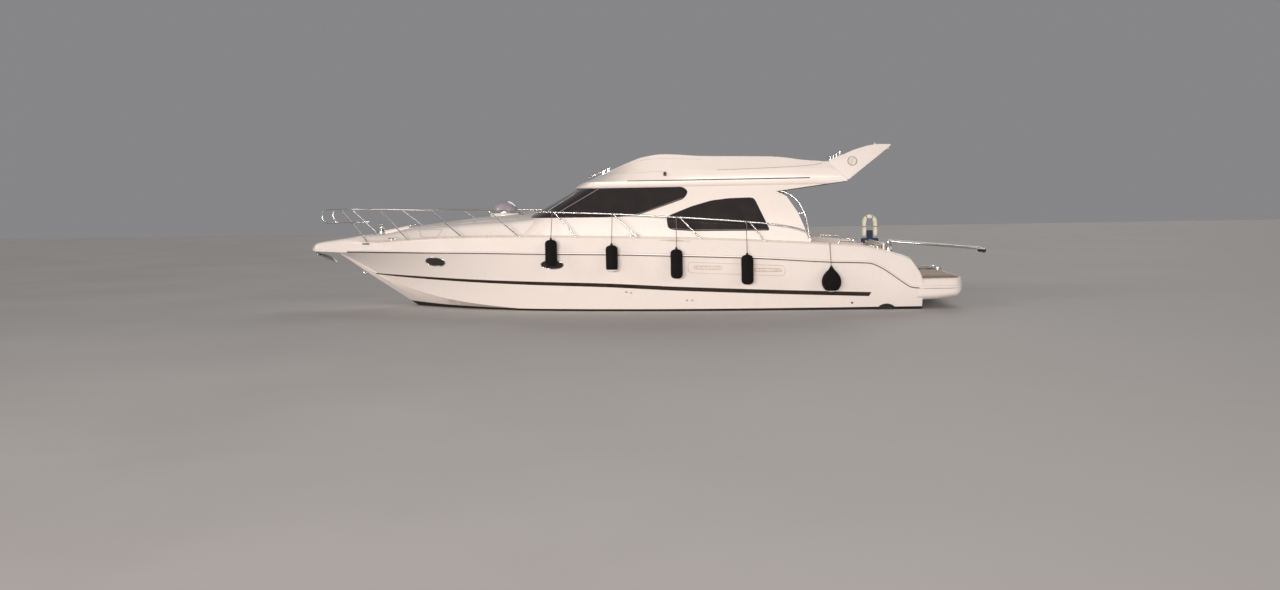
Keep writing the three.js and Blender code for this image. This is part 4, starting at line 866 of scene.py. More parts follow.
# %% Flybridge and arch
FLY_ROWS = [
    (-4.395, 1.478, 2.56, 1.42, 2.62), (-4.06, 1.468, 2.64, 1.392, 2.765), (-3.61, 1.47, 2.655, 1.38, 2.812),
    (-3.03, 1.472, 2.66, 1.372, 2.888), (-1.65, 1.47, 2.66, 1.362, 2.93), (-0.9, 1.448, 2.66, 1.318, 2.98),
    (-0.53, 1.42, 2.65, 1.252, 2.935), (-0.27, 1.378, 2.64, 1.165, 2.855), (0.05, 1.262, 2.6, 0.965, 2.735),
    (0.36, 1.05, 2.55, 0.69, 2.622), (0.56, 0.78, 2.51, 0.42, 2.54), (0.70, 0.44, 2.483, 0.2, 2.49),
    (0.75, 0.16, 2.470, 0.08, 2.472),
]
FLY_NOSE = (1.492, 0.34, 0.758)
FLY_LOW, FLY_FLOOR = 2.4653, 2.51
WELL = [
    (-4.6, -1.235), (-1.5, -1.225), (-1.18, -1.12), (-1.06, -0.9), (-1.02, -0.5), (-1.02, 0.5),
    (-1.06, 0.9), (-1.18, 1.12), (-1.5, 1.225), (-4.6, 1.235),
]
fly_shoulder_y, fly_shoulder_z, fly_top_y, fly_top_z = curves_through(FLY_ROWS)


def fly_ring(x):
    low = cabin_half_width(x, *FLY_NOSE)
    sy, sz, ty, tz = fly_shoulder_y(x), fly_shoulder_z(x), fly_top_y(x), fly_top_z(x)
    corners = [
        (0, FLY_LOW), (low, FLY_LOW), ((low + sy) / 2 + 0.004, (FLY_LOW + sz) / 2), (sy, sz),
        (ty + 0.008, tz - 0.014), (ty, tz), (0, tz),
    ]
    return both_halves(x, soften(corners, (0.006, 0.03, 0.012, 0.012, 0.02)))


fly = raw_object("flybridge_moulding", Shape().loft([fly_ring(x) for x in stations(FLY_ROWS, LONGEST)]))
well = Shape().upwards(rounded(WELL, 0.12), FLY_FLOOR, 3.2)
cut(fly, well, LADDER_HOLE, Shape().sideways(ARCH_JOINT, -2.0, 2.0))
bevel(fly, 0.012, 3, 40)
settle(fly, GEL, crisp=30, replaces="flybridge")

WING = [
    (-4.04, 2.785), (-4.3, 2.886), (-4.53, 2.986), (-4.8, 3.064), (-5.0, 3.088), (-5.25, 3.078),
    (-5.0, 2.88), (-4.82, 2.74), (-4.6, 2.57), (-4.4, 2.412),
]
wing_lean = Matrix(((1, 0, 0, 0), (0, 1, -0.24, 0.24 * 2.465), (0, 0, 1, 0), (0, 0, 0, 1)))
wing = Shape().sideways(rounded(WING, 0.05), 1.33, 1.48).moved(wing_lean)
arch = raw_object("radar_arch_moulding", wing)
cut(arch, wing.mirrored(), Shape().box((-5.2, -1.25, 2.99), (-4.93, 1.25, 3.082)), operation="UNION")
AHEAD_OF_ARCH = [(-4.0346, 2.79), (-4.5046, 2.3), (-3.0, 2.3), (-3.0, 3.2), (-4.0346, 3.2)]
cut(arch, Shape().sideways(AHEAD_OF_ARCH, -2.0, 2.0))
bevel(arch, 0.016, 3, 40)
settle(arch, GEL, crisp=30, replaces="radar_arch")
print("flybridge faces:", len(fly.data.polygons), "arch faces:", len(arch.data.polygons))


# %% [markdown]
# Trim on the mouldings. The CAD has no stripes, vents or portholes, so they are laid on here. `laid` takes a
# flat outline, drawn in side view or from above, onto the real surface of a moulding and gives it thickness,
# and `bead` lays a round bead along a line in the same way.


# %% Laying trim on a surface
def surface_of(obj):
    return BVHTree.FromObject(obj, bpy.context.evaluated_depsgraph_get())


HULL_SIDE, DECK_SIDE, FLY_SIDE, ARCH_SIDE = (surface_of(o) for o in (hull, deck, fly, arch))


def touched(tree, a, b, above=False):
    """Where a line of sight from port, or from above, meets a surface, and the way the surface faces."""
    start, toward, near = ((a, b, 4.0), (0, 0, -1), (a, b, 2.2)) if above else ((a, 4.0, b), (0, -1, 0), (a, 2.0, b))
    hit, normal = tree.ray_cast(Vector(start), Vector(toward))[:2]
    if hit is None:
        hit, normal = tree.find_nearest(Vector(near))[:2]
    return hit, normal if normal.dot(Vector(toward)) < 0 else -normal


def laid(tree, outline, proud=0.004, spacing=0.03, depth=0.02, above=False):
    """A thin plate that follows the surface inside an outline. Its rim turns in under it."""
    bm = bmesh.new()
    bm.faces.new([bm.verts.new((a, b, 0)) for a, b in outline])
    bmesh.ops.triangulate(bm, faces=bm.faces)
    for axis in (0, 1):
        values = [v.co[axis] for v in bm.verts]
        low, span = min(values), max(values) - min(values)
        count = int(span / spacing)
        for k in range(1, count + 1):
            plane, normal = Vector((0, 0, 0)), Vector((0, 0, 0))
            plane[axis], normal[axis] = low + k * span / (count + 1), 1
            geometry = bm.verts[:] + bm.edges[:] + bm.faces[:]
            bmesh.ops.bisect_plane(bm, geom=geometry, plane_co=plane, plane_no=normal)
    bm.verts.index_update()
    found = [touched(tree, v.co.x, v.co.y, above) for v in bm.verts]
    n = len(found)
    faces = [tuple(v.index for v in f.verts) for f in bm.faces]
    faces += [tuple(i + n for i in reversed(f)) for f in faces]
    rims = [tuple(v.index for v in e.verts) for e in bm.edges if len(e.link_faces) == 1]
    bm.free()
    verts = [hit + normal * out for out in (proud, proud - depth) for hit, normal in found]
    return Shape().add(verts, faces + [(a, b, b + n, a + n) for a, b in rims])


def bead(tree, line, radius, proud=0.0, closed=False):
    """A round bead that lies along a line drawn on a surface."""
    points = [Vector(p) for p in line]
    path = []
    for a, b in zip(points, points[1:] + points[:1] if closed else points[1:]):
        parts = max(1, round((b - a).length / 0.03))
        path += [a.lerp(b, k / parts) for k in range(parts)]
    found = [touched(tree, *p) for p in (path if closed else path + points[-1:])]
    return Shape().tube([hit + normal * proud for hit, normal in found], radius, 8, closed=closed)


def oval(x, z, half_x, half_z, power=2.0, sides=40, tilt=0.0):
    out = []
    for a in angles(sides):
        c, s = math.cos(a), math.sin(a)
        u = half_x * math.copysign(abs(c) ** (2 / power), c)
        v = half_z * math.copysign(abs(s) ** (2 / power), s)
        out.append((x + u * math.cos(tilt) - v * math.sin(tilt), z + u * math.sin(tilt) + v * math.cos(tilt)))
    return out


# %% Stripe, portholes, vents and outlets
STRIPE_ROWS = [
    (-4.74, 0.29, 0.038), (-3.0, 0.355, 0.038), (-1.25, 0.43, 0.038), (0.27, 0.51, 0.036), (1.50, 0.545, 0.033),
    (2.71, 0.58, 0.029), (4.08, 0.63, 0.023), (4.68, 0.652, 0.018), (5.30, 0.68, 0.008),
]
stripe_z, stripe_half = curves_through(STRIPE_ROWS)
rings = []
for x in stations(STRIPE_ROWS, 0.12):
    z, half = stripe_z(x), stripe_half(x)
    slant = 0.022 if x == STRIPE_ROWS[0][0] else 0
    rings.append([
        (x - slant * edge, topside_y(x, z + edge * half) + proud, z + edge * half)
        for proud, edges in ((0.0022, (-1, 0, 1)), (-0.003, (1, 0, -1)))
        for edge in edges
    ])
both("side_stripe", Shape().loft(rings), STRIPE, crisp=50)

# A dark band lies along the foot of the rubbing strake: a dark insert, with the strake's shadow painted into it. A fine
# line runs along the platform's edge.
rings = []
for x in stations([(-5.62,), (-4.0,), (5.68,)], 0.08):
    y, z = deck_joint(x)
    y += strake_proud(x)
    deep = 0.017 + 0.007 * max(0.0, min(1.0, x - 3.4))
    corners = [(-0.006, 0.002), (0.003, 0.004), (0.003, 0.002 + deep), (-0.004, 0.005 + deep)]
    rings.append([(x, y + out, z + up) for out, up in corners])
both("strake_insert_and_shadow", Shape().loft(rings), SEALANT_AND_SHADE, crisp=60)
platform_line = [(x, platform_y(x) + 0.001, PLATFORM_JOINT_Z) for x in stations([(-6.3,), (-5.72,)], 0.04)]
both("platform_line", Shape().tube(platform_line, 0.0065, 8), GREY, crisp=60)
PORTHOLES = [(3.61, 0.962, 0.21, 0.082, 0.06), (1.19, 0.912, 0.212, 0.078, 0.03)]
rims, panes = Shape(), Shape()
for x, z, half_x, half_z, tilt in PORTHOLES:
    rims.join(bead(HULL_SIDE, oval(x, z, half_x + 0.006, half_z + 0.006, 2.1, 56, tilt), 0.0095, 0.001, closed=True))
    panes.join(laid(HULL_SIDE, oval(x, z, half_x, half_z, 2.1, 48, tilt), 0.004))
both("porthole_rims", rims, STEEL, crisp=60)
both("porthole_panes", panes, GLASS)

VENT_RECESS = rounded([(-3.175, 0.655), (-1.384, 0.735), (-1.384, 0.938), (-3.175, 0.845)], 0.08)
VENT_SLOTS = [
    [(-2.01, 0.786), (-1.50, 0.808), (-1.50, 0.862), (-2.01, 0.852)],
    [(-3.11, 0.738), (-2.61, 0.748), (-2.61, 0.806), (-3.11, 0.790)],
]
# The outlines of the vent recess and its slots are tan beads of painted shade along their moulded edges, and the slots
# are filled with paler painted shade.
vents, slots = bead(HULL_SIDE, VENT_RECESS, 0.005, closed=True), Shape()
for outline in VENT_SLOTS:
    vents.join(bead(HULL_SIDE, rounded(outline, 0.03), 0.007, closed=True))
    slots.join(laid(HULL_SIDE, rounded(outline, 0.03), 0.0015))
both("vent_mouldings", vents, SHADE, crisp=60)
both("vent_slots", slots, PALE_SHADE_AND_ROUNDEL)

outlets = Shape()
for x, z, r in ((-0.21, 0.38, 0.022), (-0.30, 0.36, 0.018), (-1.35, 0.21, 0.02), (-1.45, 0.21, 0.02)):
    profile = [(r, -0.01), (r, 0.004), (r * 0.85, 0.01), (r * 0.5, 0.011), (r * 0.45, 0.0)]
    outlets.lathe(profile, (x, topside_y(x, z), z), (0, 1, 0), 20)
both("skin_fittings", outlets, GREY)
# The aft drains are dark buttons: painted shade in their openings.
DRAIN_X, DRAIN_Z = -4.41, 0.13
drain_at = (DRAIN_X, topside_y(DRAIN_X, DRAIN_Z), DRAIN_Z)
both("aft_drains", Shape().lathe([(0.02, -0.01), (0.02, 0.008), (0.012, 0.013)], drain_at, (0, 1, 0), 20), DARK)

EXHAUST_X, EXHAUST_Z, EXHAUST_LOW = -5.045, 0.02, -0.08
EXHAUST_ROWS = [
    (0.160, 0.09, -0.02), (0.158, 0.088, 0.014), (0.148, 0.08, 0.024), (0.133, 0.066, 0.024), (0.123, 0.056, 0.012),
    (0.118, 0.052, 0.004),
]
rings = [
    [(x, topside_y(x, max(z, EXHAUST_LOW)) + out, z) for x, z in oval(EXHAUST_X, EXHAUST_Z, half_x, half_z, 1.8, 44)]
    for half_x, half_z, out in EXHAUST_ROWS
]
both("exhaust_outlets", Shape().loft(rings), RUBBER, crisp=50)

# Steel eye at the stem, and the fairlead slots in the bow bulwark, each a dark plate of painted shade in a steel rim.
eye = smooth_path([(5.395, 0, 0.715), (5.425, 0, 0.668), (5.455, 0, 0.662), (5.485, 0, 0.706), (5.455, 0, 0.755)], 5)
piece("bow_eye", Shape().tube(eye, 0.011, 12), STEEL, crisp=60)
FAIRLEAD = rounded([(5.13, 1.296), (5.32, 1.298), (5.32, 1.324), (5.13, 1.322)], 0.012)
both("bow_fairlead_slots", laid(DECK_SIDE, FAIRLEAD, 0.002), DARK)
both("bow_fairlead_rims", bead(DECK_SIDE, FAIRLEAD, 0.004, closed=True), STEEL, crisp=60)

# %% [markdown]
# The walked-on decks have a moulded non-slip pattern between smooth margins. Here it is a thin skin that
# follows the deck, cut to panels as a mould would have them.

# %% Non-slip panels
rings = []
for x in stations([(-2.62,), (4.3,)], 0.09):
    foot, edge = Vector((foot_y(x), foot_z(x))), Vector((edge_y(x), edge_z(x)))
    inner, outer = foot.lerp(edge, 0.26), foot.lerp(edge, 0.72)
    corners = ((inner, -0.004), (inner, 0.0035), (outer, 0.0035), (outer, -0.004))
    rings.append([(x, *(corner + Vector((0, up)))) for corner, up in corners])
both("side_deck_tread", Shape().loft(rings), TREAD, crisp=50)
FOREDECK_PANELS = [
    [(2.02, 0.42), (2.02, 1.03), (2.86, 0.93), (2.86, 0.36)],
    [(2.92, 0.08), (2.92, 0.92), (3.62, 0.74), (3.62, 0.08)],
    [(3.68, 0.08), (3.68, 0.72), (4.34, 0.52), (4.34, 0.08)],
]
FLY_PANELS = [
    [(-2.96, -0.26), (-2.96, -0.02), (-1.12, -0.02), (-1.12, -0.26)],
    [(-3.95, -0.48), (-3.95, 1.1), (-3.66, 1.1), (-3.66, -0.48)],
]
panels, fly_tread = Shape(), Shape()
for outline in FOREDECK_PANELS:
    panels.join(laid(DECK_SIDE, rounded(outline, 0.06), 0.003, 0.09, 0.012, above=True))
both("foredeck_tread", panels, TREAD, crisp=40)
for outline in FLY_PANELS:
    fly_tread.join(laid(FLY_SIDE, rounded(outline, 0.05), 0.003, 0.3, 0.008, above=True))
piece("fly_floor_tread", fly_tread, TREAD, crisp=40)

# %% [markdown]
# Small things on the cabin and the flybridge: the dark joint where the two mouldings meet, with a line of painted
# shadow under the roof's after overhang, grey beads round the glass that are partly its seal and partly a painted
# highlight on its lower edges, a wiper, navigation lights, a twin horn, a plain roundel on each arch wing, and the
# grab rails that a crew member holds when stepping out of the cockpit.

# %% Joints, seals, lights, horn and grab rails
joint_line = [(x, touched(FLY_SIDE, x, 2.476)[0].y + 0.001, 2.4695) for x in stations([(-3.69,), (-0.24,)], 0.1)]
# The dark tube under the edge of the roof's after overhang is painted shadow.
overhang = [(-3.10, 1.466, 2.232), (-3.6, 1.466, 2.2965), (-4.1, 1.466, 2.361), (-4.36, 1.466, 2.3945)]
both("flybridge_joint_and_overhang_shadow", Shape().tube(joint_line, 0.0115, 8).tube(overhang, 0.008, 8), SEALANT_AND_SHADE, crisp=60)

SKIN_SIDE = surface_of(bpy.data.objects["front_side_glass_port_skin"])
SALOON_SIDE = surface_of(bpy.data.objects["saloon_glass_port_skin"])
# Grey beads along the lower edges of the front side glass and the saloon glass are a painted highlight on the glass
# edge; the bead at the windscreen pillar is its seal.
seals_and_highlights = bead(SKIN_SIDE, smooth_path([(-0.18, 1.818), (-0.46, 1.85), (-0.88, 1.99), (-1.285, 2.13)], 5), 0.004)
seals_and_highlights.join(bead(SALOON_SIDE, [(-1.08, 1.556), (-1.48, 1.526), (-2.88, 1.514)], 0.004))
seals_and_highlights.join(bead(SKIN_SIDE, [(1.085, 1.90), (0.32, 2.335)], 0.0055))
both("glass_seals_and_edge_highlights", seals_and_highlights, GLASS_SEAL_AND_HIGHLIGHT, crisp=60)

wiper, blade, arm_out = Shape(), [], Vector((0, 0.014, 0))
for k in range(9):
    hit, normal = touched(SKIN_SIDE, 1.235 - 0.055 * k, 1.965 + 0.034 * k)
    blade.append(hit + normal * 0.014)
wiper.tube(blade, 0.006, 8).tube([p + arm_out for p in blade[:5]], 0.008, 8)
wiper.tube([blade[0] + arm_out, touched(SKIN_SIDE, 1.34, 1.905)[0]], 0.009, 8)
both("windscreen_wipers", wiper, GREY, crisp=60)

SIDELIGHT = rounded([(-0.985, 2.555), (-0.93, 2.557), (-0.93, 2.628), (-0.985, 2.626)], 0.015)
both("sidelight_housings", laid(FLY_SIDE, SIDELIGHT, 0.035, 0.02, 0.04), DARK, bevelled=0.004)
ROUNDEL_X, ROUNDEL_Z = -4.495, 2.772
roundel, rim = (oval(ROUNDEL_X, ROUNDEL_Z, r, r, 2.0, 48) for r in (0.08, 0.082))
both("arch_roundels", laid(ARCH_SIDE, roundel, 0.004, 0.02, 0.012), PALE_SHADE_AND_ROUNDEL, bevelled=0.0015)
both("arch_roundel_rims", bead(ARCH_SIDE, rim, 0.009, 0.002, closed=True), GREY, crisp=60)

MAST_AT = (-5.075, 0.32, 0)
mast = Shape().lathe(
    [(0.035, 3.08), (0.035, 3.088), (0.016, 3.094), (0.014, 3.13), (0.026, 3.136), (0.026, 3.142)], MAST_AT, sides=28
)
mast.lathe([(0.05, 3.079), (0.052, 3.095), (0.044, 3.118), (0.024, 3.131), (0, 3.135)], (-5.06, -0.34, 0), sides=36)
piece("arch_mushroom_and_light_base", mast, WHITE)
globe = [(0.022, 3.1425), (0.023, 3.15), (0.023, 3.168), (0.019, 3.176), (0, 3.178)]
piece("arch_all_round_light", Shape().lathe(globe, MAST_AT, sides=28), DOME)

horn = Shape()
FLARE = [(0.0, 1.0), (0.03, 0.96), (0.07, 0.7), (0.16, 0.45), (0.4, 0.32), (1.0, 0.26)]
for bell_x, bell_z, y, r in ((0.68, 2.592, 0.045, 0.036), (0.53, 2.654, -0.045, 0.032)):
    bell, throat = Vector((bell_x, y, bell_z)), Vector((0.272, y, 2.76))
    horn.tube([bell.lerp(throat, t) for t, _ in FLARE], [r * share for _, share in FLARE], 24)
    horn.lathe([(0.026, 0), (0.03, 0.008), (0.03, 0.03), (0.024, 0.038)], throat, throat - bell, 24)
    horn.box((0.36, y - 0.012, 2.58), (0.40, y + 0.012, 2.715)).box((0.262, y - 0.012, 2.62), (0.29, y + 0.012, 2.76))
piece("twin_horn", horn, STEEL, crisp=50)
foot = touched(FLY_SIDE, 0.72, 0.0, above=True)[0]
jet = [(0.034, -0.01), (0.034, 0.004), (0.026, 0.012), (0.026, 0.03), (0.018, 0.042), (0, 0.045)]
piece("roof_spray_jet", Shape().lathe(jet, foot), GREY)

GRAB_ROWS = [
    (-3.15, 1.47, 2.23), (-3.25, 1.483, 2.194), (-3.368, 1.50, 2.12), (-3.47, 1.518, 2.015), (-3.548, 1.54, 1.87),
    (-3.597, 1.558, 1.747), (-3.625, 1.58, 1.605), (-3.643, 1.60, 1.471), (-3.67, 1.625, 1.262),
]
LOW_RAIL_ROWS = [
    (-4.17, -0.01), (-4.17, 0.03), (-4.185, 0.055), (-4.21, 0.066), (-4.40, 0.068), (-4.58, 0.068), (-4.605, 0.057),
    (-4.62, 0.03), (-4.62, -0.01),
]
grabs = Shape().tube(smooth_path(GRAB_ROWS, 5), 0.0145, 14)
grabs.tube([(-3.44, 1.54, 1.80), (-3.575, 1.548, 1.81)], 0.009, 10)
low_rail = [(x, edge_y(x) - 0.03, edge_z(x) + rise) for x, rise in LOW_RAIL_ROWS]
both("grab_rails", grabs.tube(smooth_path(low_rail, 4), 0.0125, 12), STEEL, crisp=60)

# The small panel on the coachroof side is outlined by a grey bead of painted shade along the edge of its recess.
CABIN_PANEL = rounded([(3.512, 1.593), (4.05, 1.589), (3.954, 1.446), (3.60, 1.441)], 0.03)
both("coachroof_recess", bead(DECK_SIDE, CABIN_PANEL, 0.005, closed=True), GREY, crisp=60)
# The creases of the flybridge moulding are thin beads of painted shade, darker along the after sweep.
creases = bead(FLY_SIDE, smooth_path([(-0.05, 2.60), (-0.117, 2.612), (-0.55, 2.635), (-0.992, 2.65)], 4), 0.004)
creases.join(bead(FLY_SIDE, smooth_path([(-0.36, 2.846), (-0.62, 2.885), (-1.0, 2.893), (-1.65, 2.862)], 4), 0.0035))
both("flybridge_creases", creases, SHADE, crisp=60)
sweep = bead(FLY_SIDE, smooth_path([(-1.95, 2.652), (-2.727, 2.668), (-3.606, 2.70), (-3.93, 2.742)], 4), 0.0055)
both("flybridge_sweep", sweep, GREY, crisp=60)
# A tan lens on the bulwark is painted shade in the recess of the midship fairlead.
SIDE_FAIRLEAD = rounded([(-0.80, 1.352), (-1.15, 1.356), (-1.49, 1.318), (-1.15, 1.318)], 0.05)
both("side_fairlead_recess_shade", laid(DECK_SIDE, SIDE_FAIRLEAD, 0.003), SHADE)
cowl_vent = [
    (0.052, 1.70), (0.052, 1.80), (0.06, 1.808), (0.064, 1.83), (0.06, 1.862), (0.045, 1.872), (0, 1.876),
]
piece("foredeck_vent", Shape().lathe(cowl_vent, (2.02, 0.42, 0)), BRONZED)

# %% [markdown]
# Underwater gear. Shaft logs leave the bottom, brackets carry the shafts, and the rudders hang from bosses.
# The propellers and rudders ride their own bodies, so they turn.

# %% Shafts, brackets, propellers, rudders and tabs
SHAFT_TILT, SHAFT_LENGTH, SHAFT_R = math.radians(10.5), 1.7, 0.019
SHAFT_AXIS = Vector((-math.cos(SHAFT_TILT), 0, -math.sin(SHAFT_TILT)))
PROP_AT = Vector((-4.85, 0.62, -0.78))
RUDDER_X, RUDDER_TOP, SHAFT_Y = -5.29, -0.42, 0.62

logs = Shape().lathe([(0.04, 0), (0.048, 0.008), (0.048, 0.56)], PROP_AT - SHAFT_AXIS * SHAFT_LENGTH, -SHAFT_AXIS, 28)
logs.lathe([(0.036, 0), (0.042, 0.006), (0.042, 0.24)], (RUDDER_X, SHAFT_Y, RUDDER_TOP), sides=28)
both("shaft_logs", logs, HULL_GEL)
barrel = [(0.0205, 0), (0.036, 0), (0.04, 0.006), (0.04, 0.144), (0.036, 0.15), (0.0205, 0.15), (0.0205, 0)]
bracket = Shape().lathe(barrel, PROP_AT - SHAFT_AXIS * 0.33, SHAFT_AXIS, 28)
bracket.loft([
    [(x + half * math.cos(a), SHAFT_Y + 0.009 * math.sin(a), z) for a in angles(20)]
    for z, x, half in ((-0.30, -4.535, 0.065), (-0.50, -4.545, 0.055), (-0.698, -4.555, 0.045))
])
both("shaft_brackets", bracket, BRONZE)

BLADE_ROWS = [
    (0.04, 0.105, 62, 0.017), (0.11, 0.17, 46, 0.014), (0.19, 0.195, 32, 0.011), (0.245, 0.13, 26, 0.009),
    (0.262, 0.08, 25, 0.007), (0.268, 0.05, 24, 0.006),
]
HUB = [
    (0.046, -0.07), (0.052, -0.064), (0.056, 0), (0.048, 0.06), (0.031, 0.07), (0.026, 0.112), (0.012, 0.124),
    (0, 0.125),
]
RUDDER_ROWS = [(-0.95, 0.08, 0.235, 0.018), (-0.74, 0.095, 0.3, 0.026), (-0.56, 0.1, 0.33, 0.034)]
FOIL = [(0, 0), (0.03, 0.42), (0.12, 0.75), (0.35, 1), (0.6, 0.75), (0.8, 0.42), (1, 0.06)]
chord_at, pitch_at, thick_at = curves_through(BLADE_ROWS)


def propeller():
    """Four blades on a hub with its shaft, pointing aft along +X before it is turned into place."""
    blade = []
    for radius in stations(BLADE_ROWS, 0.016):
        pitch, chord, thick = math.radians(pitch_at(radius)), chord_at(radius) / 2, thick_at(radius) / 2
        dx, dy = math.sin(pitch), math.cos(pitch)
        section = [(chord * math.cos(a), thick * math.sin(a)) for a in angles(18)]
        blade.append([Vector((u * dx - v * dy, u * dy + v * dx, radius)) for u, v in section])
    shape = Shape()
    for k in range(4):
        turn = Matrix.Rotation(math.radians(15 + 90 * k), 3, "X")
        shape.loft([[turn @ v for v in ring] for ring in blade])
    shape.lathe(HUB, (0, 0, 0), (1, 0, 0))
    return shape.lathe(rod(SHAFT_R, 0, SHAFT_LENGTH - GAP), (0, 0, 0), (-1, 0, 0), 24)


aft_turn = Vector((1, 0, 0)).rotation_difference(SHAFT_AXIS).to_matrix().to_4x4()
for (name, side), turned in zip(SIDES, (0.1, 0.7)):
    screw = propeller().moved(Matrix.Translation(PROP_AT) @ aft_turn @ Matrix.Rotation(turned, 4, "X"))
    body = f"propeller_{name}"
    piece(f"{body}_cast", screw.on(side), BRONZE, body, replaces=body, crisp=40)

    rudder = Shape().loft([
        [(RUDDER_X + ahead - chord * t, SHAFT_Y + v * thick / 2, z) for t, v in FOIL]
        + [(RUDDER_X + ahead - chord * t, SHAFT_Y - v * thick / 2, z) for t, v in reversed(FOIL[1:])]
        for z, ahead, chord, thick in RUDDER_ROWS
    ])
    rudder.lathe(rod(0.02, 0, 0.1547), (RUDDER_X, SHAFT_Y, -0.575), sides=24)
    body = f"rudder_{name}"
    piece(f"{body}_blade", rudder.on(side), BRONZE, body, replaces=body, bevelled=0.002, crisp=40)

    tab = Shape().box((-0.29, -0.26, 0), (0, 0.26, 0.012))
    for y in (-0.2, -0.07, 0.07, 0.2):
        tab.lathe(rod(0.006, -0.03, 0.03), (-0.004, y, 0.013), (0, 1, 0), 12)
    tab.box((-0.19, -0.02, 0.011), (-0.15, 0.02, 0.03))
    tab.moved(Matrix.Translation((TRANSOM_X - GAP, 1.19, -0.224)) @ Matrix.Rotation(math.radians(12.6), 4, "X"))
    body = f"trim_tab_{name}"
    piece(f"{body}_plate", tab.on(side), STEEL, body, replaces=body, bevelled=0.002)


# %% [markdown]
# Rails. The top rail follows the sheer, drops steeply at its after end and folds round in a loop at the
# pulpit. Stanchions rake forward and stand on small welded bases. Below them runs a low toe rail.

# %% Guard rails, toe rails and cleats
RAIL_ROWS = [
    (-3.68, 1.838, 1.3), (-3.6, 1.838, 1.455), (-3.19, 1.855, 1.58), (-2.55, 1.87, 1.662), (-1.19, 1.885, 1.772),
    (0.02, 1.865, 1.852), (1.16, 1.79, 1.902), (2.43, 1.6, 1.95), (3.67, 1.255, 1.975), (4.89, 0.715, 2.012),
    (5.73, 0.35, 2.022), (6.11, 0.318, 2.022),
]
PULPIT = [
    (6.215, 0.31, 1.965), (6.232, 0.306, 1.88), (6.19, 0.306, 1.78), (6.11, 0.312, 1.735), (5.98, 0.325, 1.735),
    (5.48, 0.42, 1.75),
]
STANCHIONS = [
    (-2.84, -2.55), (-1.65, -1.25), (-0.47, 0.0), (0.7, 1.14), (1.81, 2.43), (2.96, 3.67), (4.17, 4.89), (5.18, 5.83),
]
RAIL_R, STANCHION_R = 0.014, 0.012
FOOT_PLATE = [(0.034, 0), (0.034, 0.004), (0.026, 0.009)]
rail_y, rail_z = curves_through(RAIL_ROWS)


def guard_rail():
    shape = Shape()
    rail = [Vector((x, rail_y(x), rail_z(x))) for x in stations(RAIL_ROWS, 0.12)]
    loop = smooth_path([rail[-3], rail[-1]] + PULPIT, 8)[8:]
    shape.tube(rail + loop[1:], RAIL_R, 14)
    for foot, head in STANCHIONS:
        base = Vector((foot, edge_y(foot) - 0.034, edge_z(foot) - 0.02))
        top = Vector((head, rail_y(head), rail_z(head) - 0.006))
        shape.tube([base, base.lerp(top, 0.5), top], STANCHION_R, 12)
        lean = (top - base).normalized()
        shape.tube([base + lean * 0.01, base + lean * 0.058], [0.019, 0.0165], 16)
        shape.lathe(FOOT_PLATE, (foot + 0.004, base.y, edge_z(foot) + 0.001), sides=20)
        shape.tube([top - lean * 0.03, top - lean * 0.004], [0.0135, 0.0175], 14)
    return shape


def toe_rail():
    rings = []
    for x in stations([(-5.0,), (5.3,)], 0.12):
        y, z = edge_y(x) - 0.03, edge_z(x)
        corners = [(y - 0.011, z - 0.012), (y - 0.011, z + 0.026), (y + 0.011, z + 0.026), (y + 0.011, z - 0.012)]
        rings.append([(x, *p) for p in soften(corners, (0.007, 0.007), 3)])
    return Shape().loft(rings)


def cleat(x):
    y, z = edge_y(x) - 0.062, edge_z(x) + 0.012
    horn = [(-0.115, 0.046), (-0.09, 0.050), (-0.05, 0.046), (0, 0.044), (0.05, 0.046), (0.09, 0.050), (0.115, 0.046)]
    shape = Shape().tube(
        [(x + u, y, z + w) for u, w in horn], [0.005, 0.009, 0.0115, 0.0125, 0.0115, 0.009, 0.005], 14
    )
    for dx in (-0.034, 0.034):
        shape.tube([(x + dx, y, z - 0.02), (x + dx, y, z + 0.044)], [0.014, 0.010], 14)
    return shape.loft([
        [(x + u * s, y + v * s, z - 0.012 + h) for u, v in oval(0, 0, 0.062, 0.021, 2.6, 24)]
        for s, h in ((1, 0), (1, 0.008), (0.86, 0.013))
    ])


cleats = Shape()
for x in (-4.85, -0.35, 4.56):
    cleats.join(cleat(x))
for name, side in SIDES:
    node = f"guard_rail_{name}"
    piece(f"{node}_tubes", guard_rail().on(side), STEEL, replaces=node, crisp=50)
    # The toe rail is real, and its tan is painted shade, so it reads as the shadow line along the deck edge.
    piece(f"toe_rail_{name}", toe_rail().on(side), SHADE)
    piece(f"cleats_{name}", cleats.on(side), STEEL, crisp=50)


# %% [markdown]
# Fenders. Four long fenders in black knitted covers hang from the rail, and a ball fender hangs at the
# quarter. The covers are gathered at both ends with a drawstring, and the line is hitched round the rail.

# %% Fenders
FENDERS = [(1.175, 1.39, 0.51), (0.025, 1.275, 0.49), (-1.18, 1.185, 0.545), (-2.48, 1.065, 0.55)]
FENDER_R, GLINT_ENDED = 0.112, (2, 5)
BALL_X, BALL_TOP, BALL_LENGTH, BALL_R = -4.01, 0.845, 0.48, 0.178
LINE_R = 0.0062


def cover(points, radius, at, sides):
    return Shape().lathe(soften(points, [radius] * (len(points) - 2), 3), at, sides=sides)


def white_glint_end(at, r):
    """The white end of a fender below its cut-back cover, a painted highlight for the glint at its foot."""
    profile = [(0.02, 0), (r * 0.45, 0.003), (r * 0.72, 0.014), (r * 0.86, 0.034), (r * 0.88, 0.06)]
    return Shape().lathe(profile, at, sides=36)


